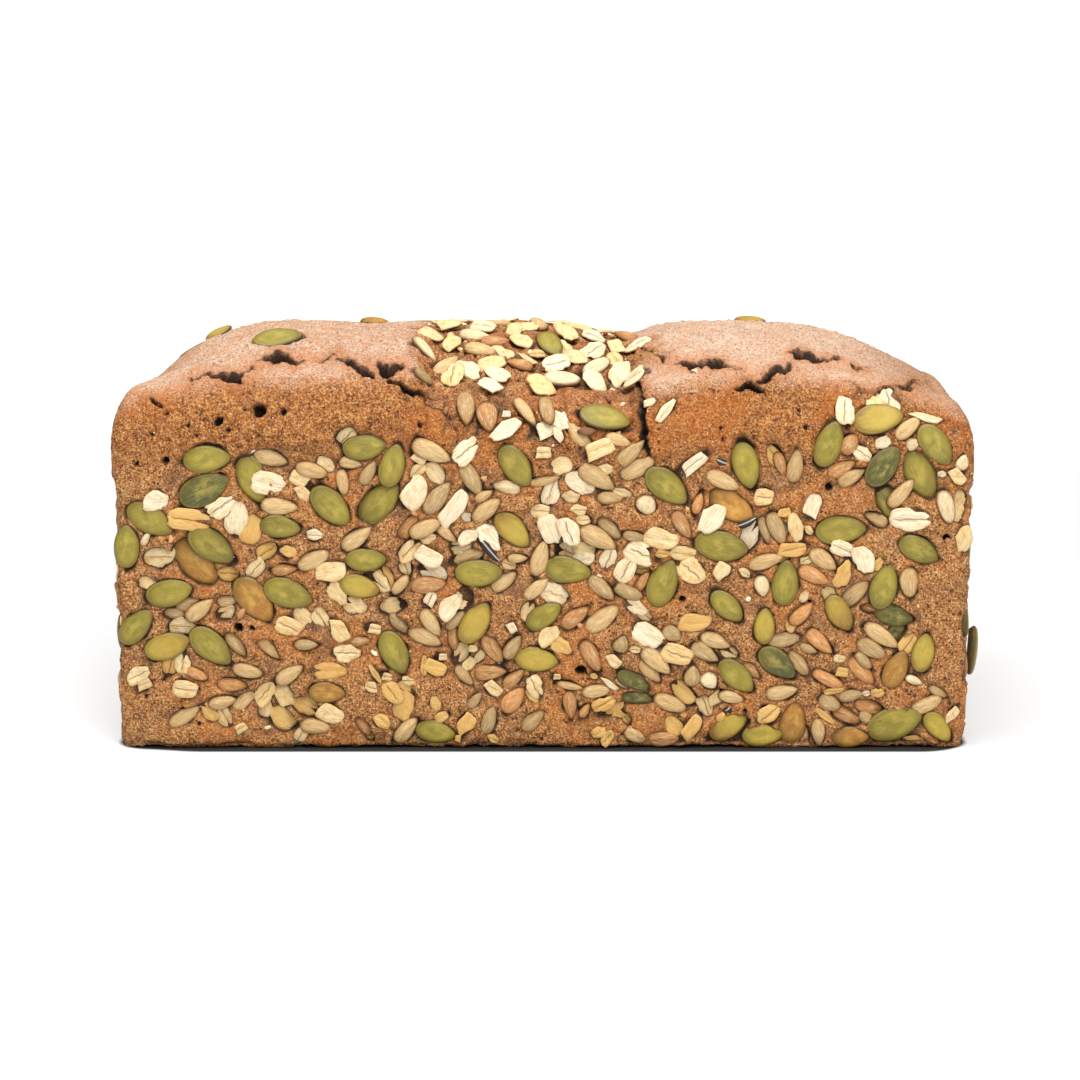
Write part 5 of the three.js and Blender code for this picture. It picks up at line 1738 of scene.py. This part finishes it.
def crumb_finish():
    f = Finish("crumbs")
    grain = f.vector("grain")
    tone = f.value("tone")
    parts = f.add("ShaderNodeSeparateXYZ", Vector=grain).outputs
    grainy = f.noise(f.place(), 900, 3)
    colour = f.ramp(f.scaled(grainy, 0.1, f.minus(tone, 0.05)),
                    (0.0, 126, 82, 50), (0.3, 178, 122, 74), (0.45, 206, 158, 104),
                    (0.6, 232, 200, 142), (0.75, 246, 230, 196), (0.84, 236, 226, 206),
                    (0.88, 44, 38, 36), (1.0, 32, 28, 28))
    stripe = f.between(f.math("ABSOLUTE", f.plus(parts[1], -0.25)), 0.3, 0.12)
    hull = f.between(tone, 0.88, 0.9)
    colour = f.tint(colour, f.times(stripe, hull), 0.7, 212, 200, 180)
    return f.finish(colour, f.scaled(grainy, 0.3, 0.5), grainy, 0.0004, 0.6)


# ---------------------------------------------------------------- floor, light and camera
FLOOR_TONE = 0.42
FLOOR_SHADE = 0.03  # tone of the painted shadow along the foot
FLOOR_GLOW = {"near": 0.5, "more": 0.6, "from": 0.15, "to": 1.2}  # it grows with the distance, in metres
FLOOR_FADE = 0.0022  # metres over which the painted shadow ends
FLOOR_CORNER = 9.0  # radius of the painted shadow's corners in millimetres
# Painted contact shadow along the foot: how much wider it is in front, its least width, and where along x it
# fades in at the ends, in metres.
PAINTED_SHADOW = {"reach": 0.0031, "least": 0.0002, "left": (-0.121, -0.1), "right": (0.125, 0.112)}
FLOOR_REACH = 30.0
SKY = 0.35
LAMPS = {
    "key": {"at": (0.25, -0.85, 0.75), "to": (0.0, 0.0, 0.05), "size": 0.55, "power": 6.4},
    "over": {"at": (-0.12, -0.28, 1.1), "to": (0.0, 0.0, 0.08), "size": 0.8, "power": 13.0},
}


def make_stage():
    reach = FLOOR_REACH
    mesh = bpy.data.meshes.new("floor")
    mesh.from_pydata([(-reach, -reach, 0), (reach, -reach, 0), (reach, reach, 0), (-reach, reach, 0)], [],
                     [(0, 1, 2, 3)])
    floor = bpy.data.objects.new("floor", mesh)
    bpy.context.scene.collection.objects.link(floor)
    f = Finish("floor")
    parts = f.add("ShaderNodeSeparateXYZ", Vector=f.place()).outputs
    x, y = f.minus(parts[0], SHIFT_X * MM), parts[1]  # on the floor, in the loaf's frame
    beside = []
    for across, half in ((x, HALF_X), (y, HALF_Y)):
        beyond = f.minus(f.math("ABSOLUTE", across), (half - FLOOR_CORNER) * MM)
        beside.append(f.math("MAXIMUM", beyond, 0.0))
    away = f.math("MAXIMUM", f.minus(f.length(*beside), (FLOOR_CORNER - FOOT) * MM), 0.0)
    # A painted contact shadow: the floor is dark along the foot, in a wider band in front.
    inner = f.times(f.between(x, *PAINTED_SHADOW["left"]), f.between(x, *PAINTED_SHADOW["right"]))
    inner = f.times(inner, f.between(y, 0.0, -HALF_Y * MM))
    line = f.scaled(inner, PAINTED_SHADOW["reach"], PAINTED_SHADOW["least"])
    clear = f.between(away, line, f.plus(line, FLOOR_FADE))
    shade, tone = ((value, value, value) for value in (FLOOR_SHADE, FLOOR_TONE))
    f.put(f.shader.inputs["Base Color"], f.mix(clear, shade, tone))
    f.shader.inputs["Roughness"].default_value = 0.9
    f.shader.inputs["Specular IOR Level"].default_value = 0.1
    f.shader.inputs["Emission Color"].default_value = (1, 1, 1, 1)
    far = f.between(away, FLOOR_GLOW["from"], FLOOR_GLOW["to"])
    glow = f.scaled(far, FLOOR_GLOW["more"], FLOOR_GLOW["near"])
    # No glow under the painted shadow.
    f.put(f.shader.inputs["Emission Strength"], f.times(clear, glow))
    mesh.materials.append(f.material)


def make_light():
    scene = bpy.context.scene
    scene.world = bpy.data.worlds.new("sky")
    scene.world.use_nodes = True
    sky = scene.world.node_tree.nodes["Background"]
    sky.inputs["Color"].default_value = (1, 1, 1, 1)
    sky.inputs["Strength"].default_value = SKY
    for name, lamp in LAMPS.items():
        data = bpy.data.lights.new(name, "AREA")
        data.shape = "DISK"
        data.size = lamp["size"]
        data.energy = lamp["power"]
        thing = bpy.data.objects.new(name, data)
        thing.location = lamp["at"]
        way = [b - a for a, b in zip(lamp["at"], lamp["to"])]
        thing.rotation_euler = mathutils.Vector(way).to_track_quat("-Z", "Y").to_euler()
        scene.collection.objects.link(thing)
    scene.view_settings.view_transform = "Standard"
    scene.view_settings.look = "None"


def make_camera():
    data = bpy.data.cameras.new("camera")
    data.sensor_width = 36
    data.lens = EYE_LENS
    data.clip_start = 0.01
    data.clip_end = 100
    camera = bpy.data.objects.new("camera", data)
    camera.location = ((EYE[0] + SHIFT_X) * MM, EYE[1] * MM, EYE[2] * MM)
    camera.rotation_euler = (math.radians(90 - EYE_PITCH), 0, 0)
    bpy.context.scene.collection.objects.link(camera)
    bpy.context.scene.camera = camera


# ---------------------------------------------------------------- the dressed loaf
def dress(piece, slot):
    keep_inside(piece)
    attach(piece, "root")
    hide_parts("loaf")


def end_seed_row():
    s = END_PUMPKIN
    point, along, out = place("right", s["y"], s["z"])
    long, wide = REFERENCE["pumpkin"]
    return {"point": point + out * s["proud"], "along": along, "out": out,
            "turn": s["turn"], "pitch": 0.04, "roll": 0.1,
            "size": (s["length"] / long, s["width"] / wide, 1.2), "shape": 1, "chance": 0.4, "tone": 0.4}


def make_loaf():
    seeds = all_seeds()
    crust = make_crust(seeds)
    crust.data.materials.clear()
    crust.data.materials.append(crust_finish())
    dress(crust, "crust")
    tree, inputs = seeding_tree()
    kinds = (
        ("pumpkin_seeds", "pumpkin_seed", "pumpkin", pumpkin_shape, pumpkin_finish),
        ("sunflower_kernels", "sunflower_kernel", "kernel", kernel_shape, kernel_finish),
        ("oat_flakes", "oat_flake", "oat", oat_shape, oat_finish),
    )
    for name, slot, kind, shape, finish in kinds:
        rows = seed_rows(seeds, kind)
        if kind == "pumpkin":
            rows.append(end_seed_row())
        shapes = [shape(n) for n in range(SHAPES[kind])]
        dress(lay_pieces(name, rows, shapes, finish(), tree, inputs, ROCK["seeds"], SWELL[kind]), slot)
    shapes = [crumb_shape(n) for n in range(CRUMB_SHAPES)] + [hull_shape(n) for n in range(HULL_SHAPES)]
    rows = crumb_rows(seeds)
    dress(lay_pieces("crumbs", rows, shapes, crumb_finish(), tree, inputs, ROCK["crumbs"]), "crumbs")
    bpy.data.node_groups.remove(tree)


make_camera()
make_stage()
make_light()
make_loaf()
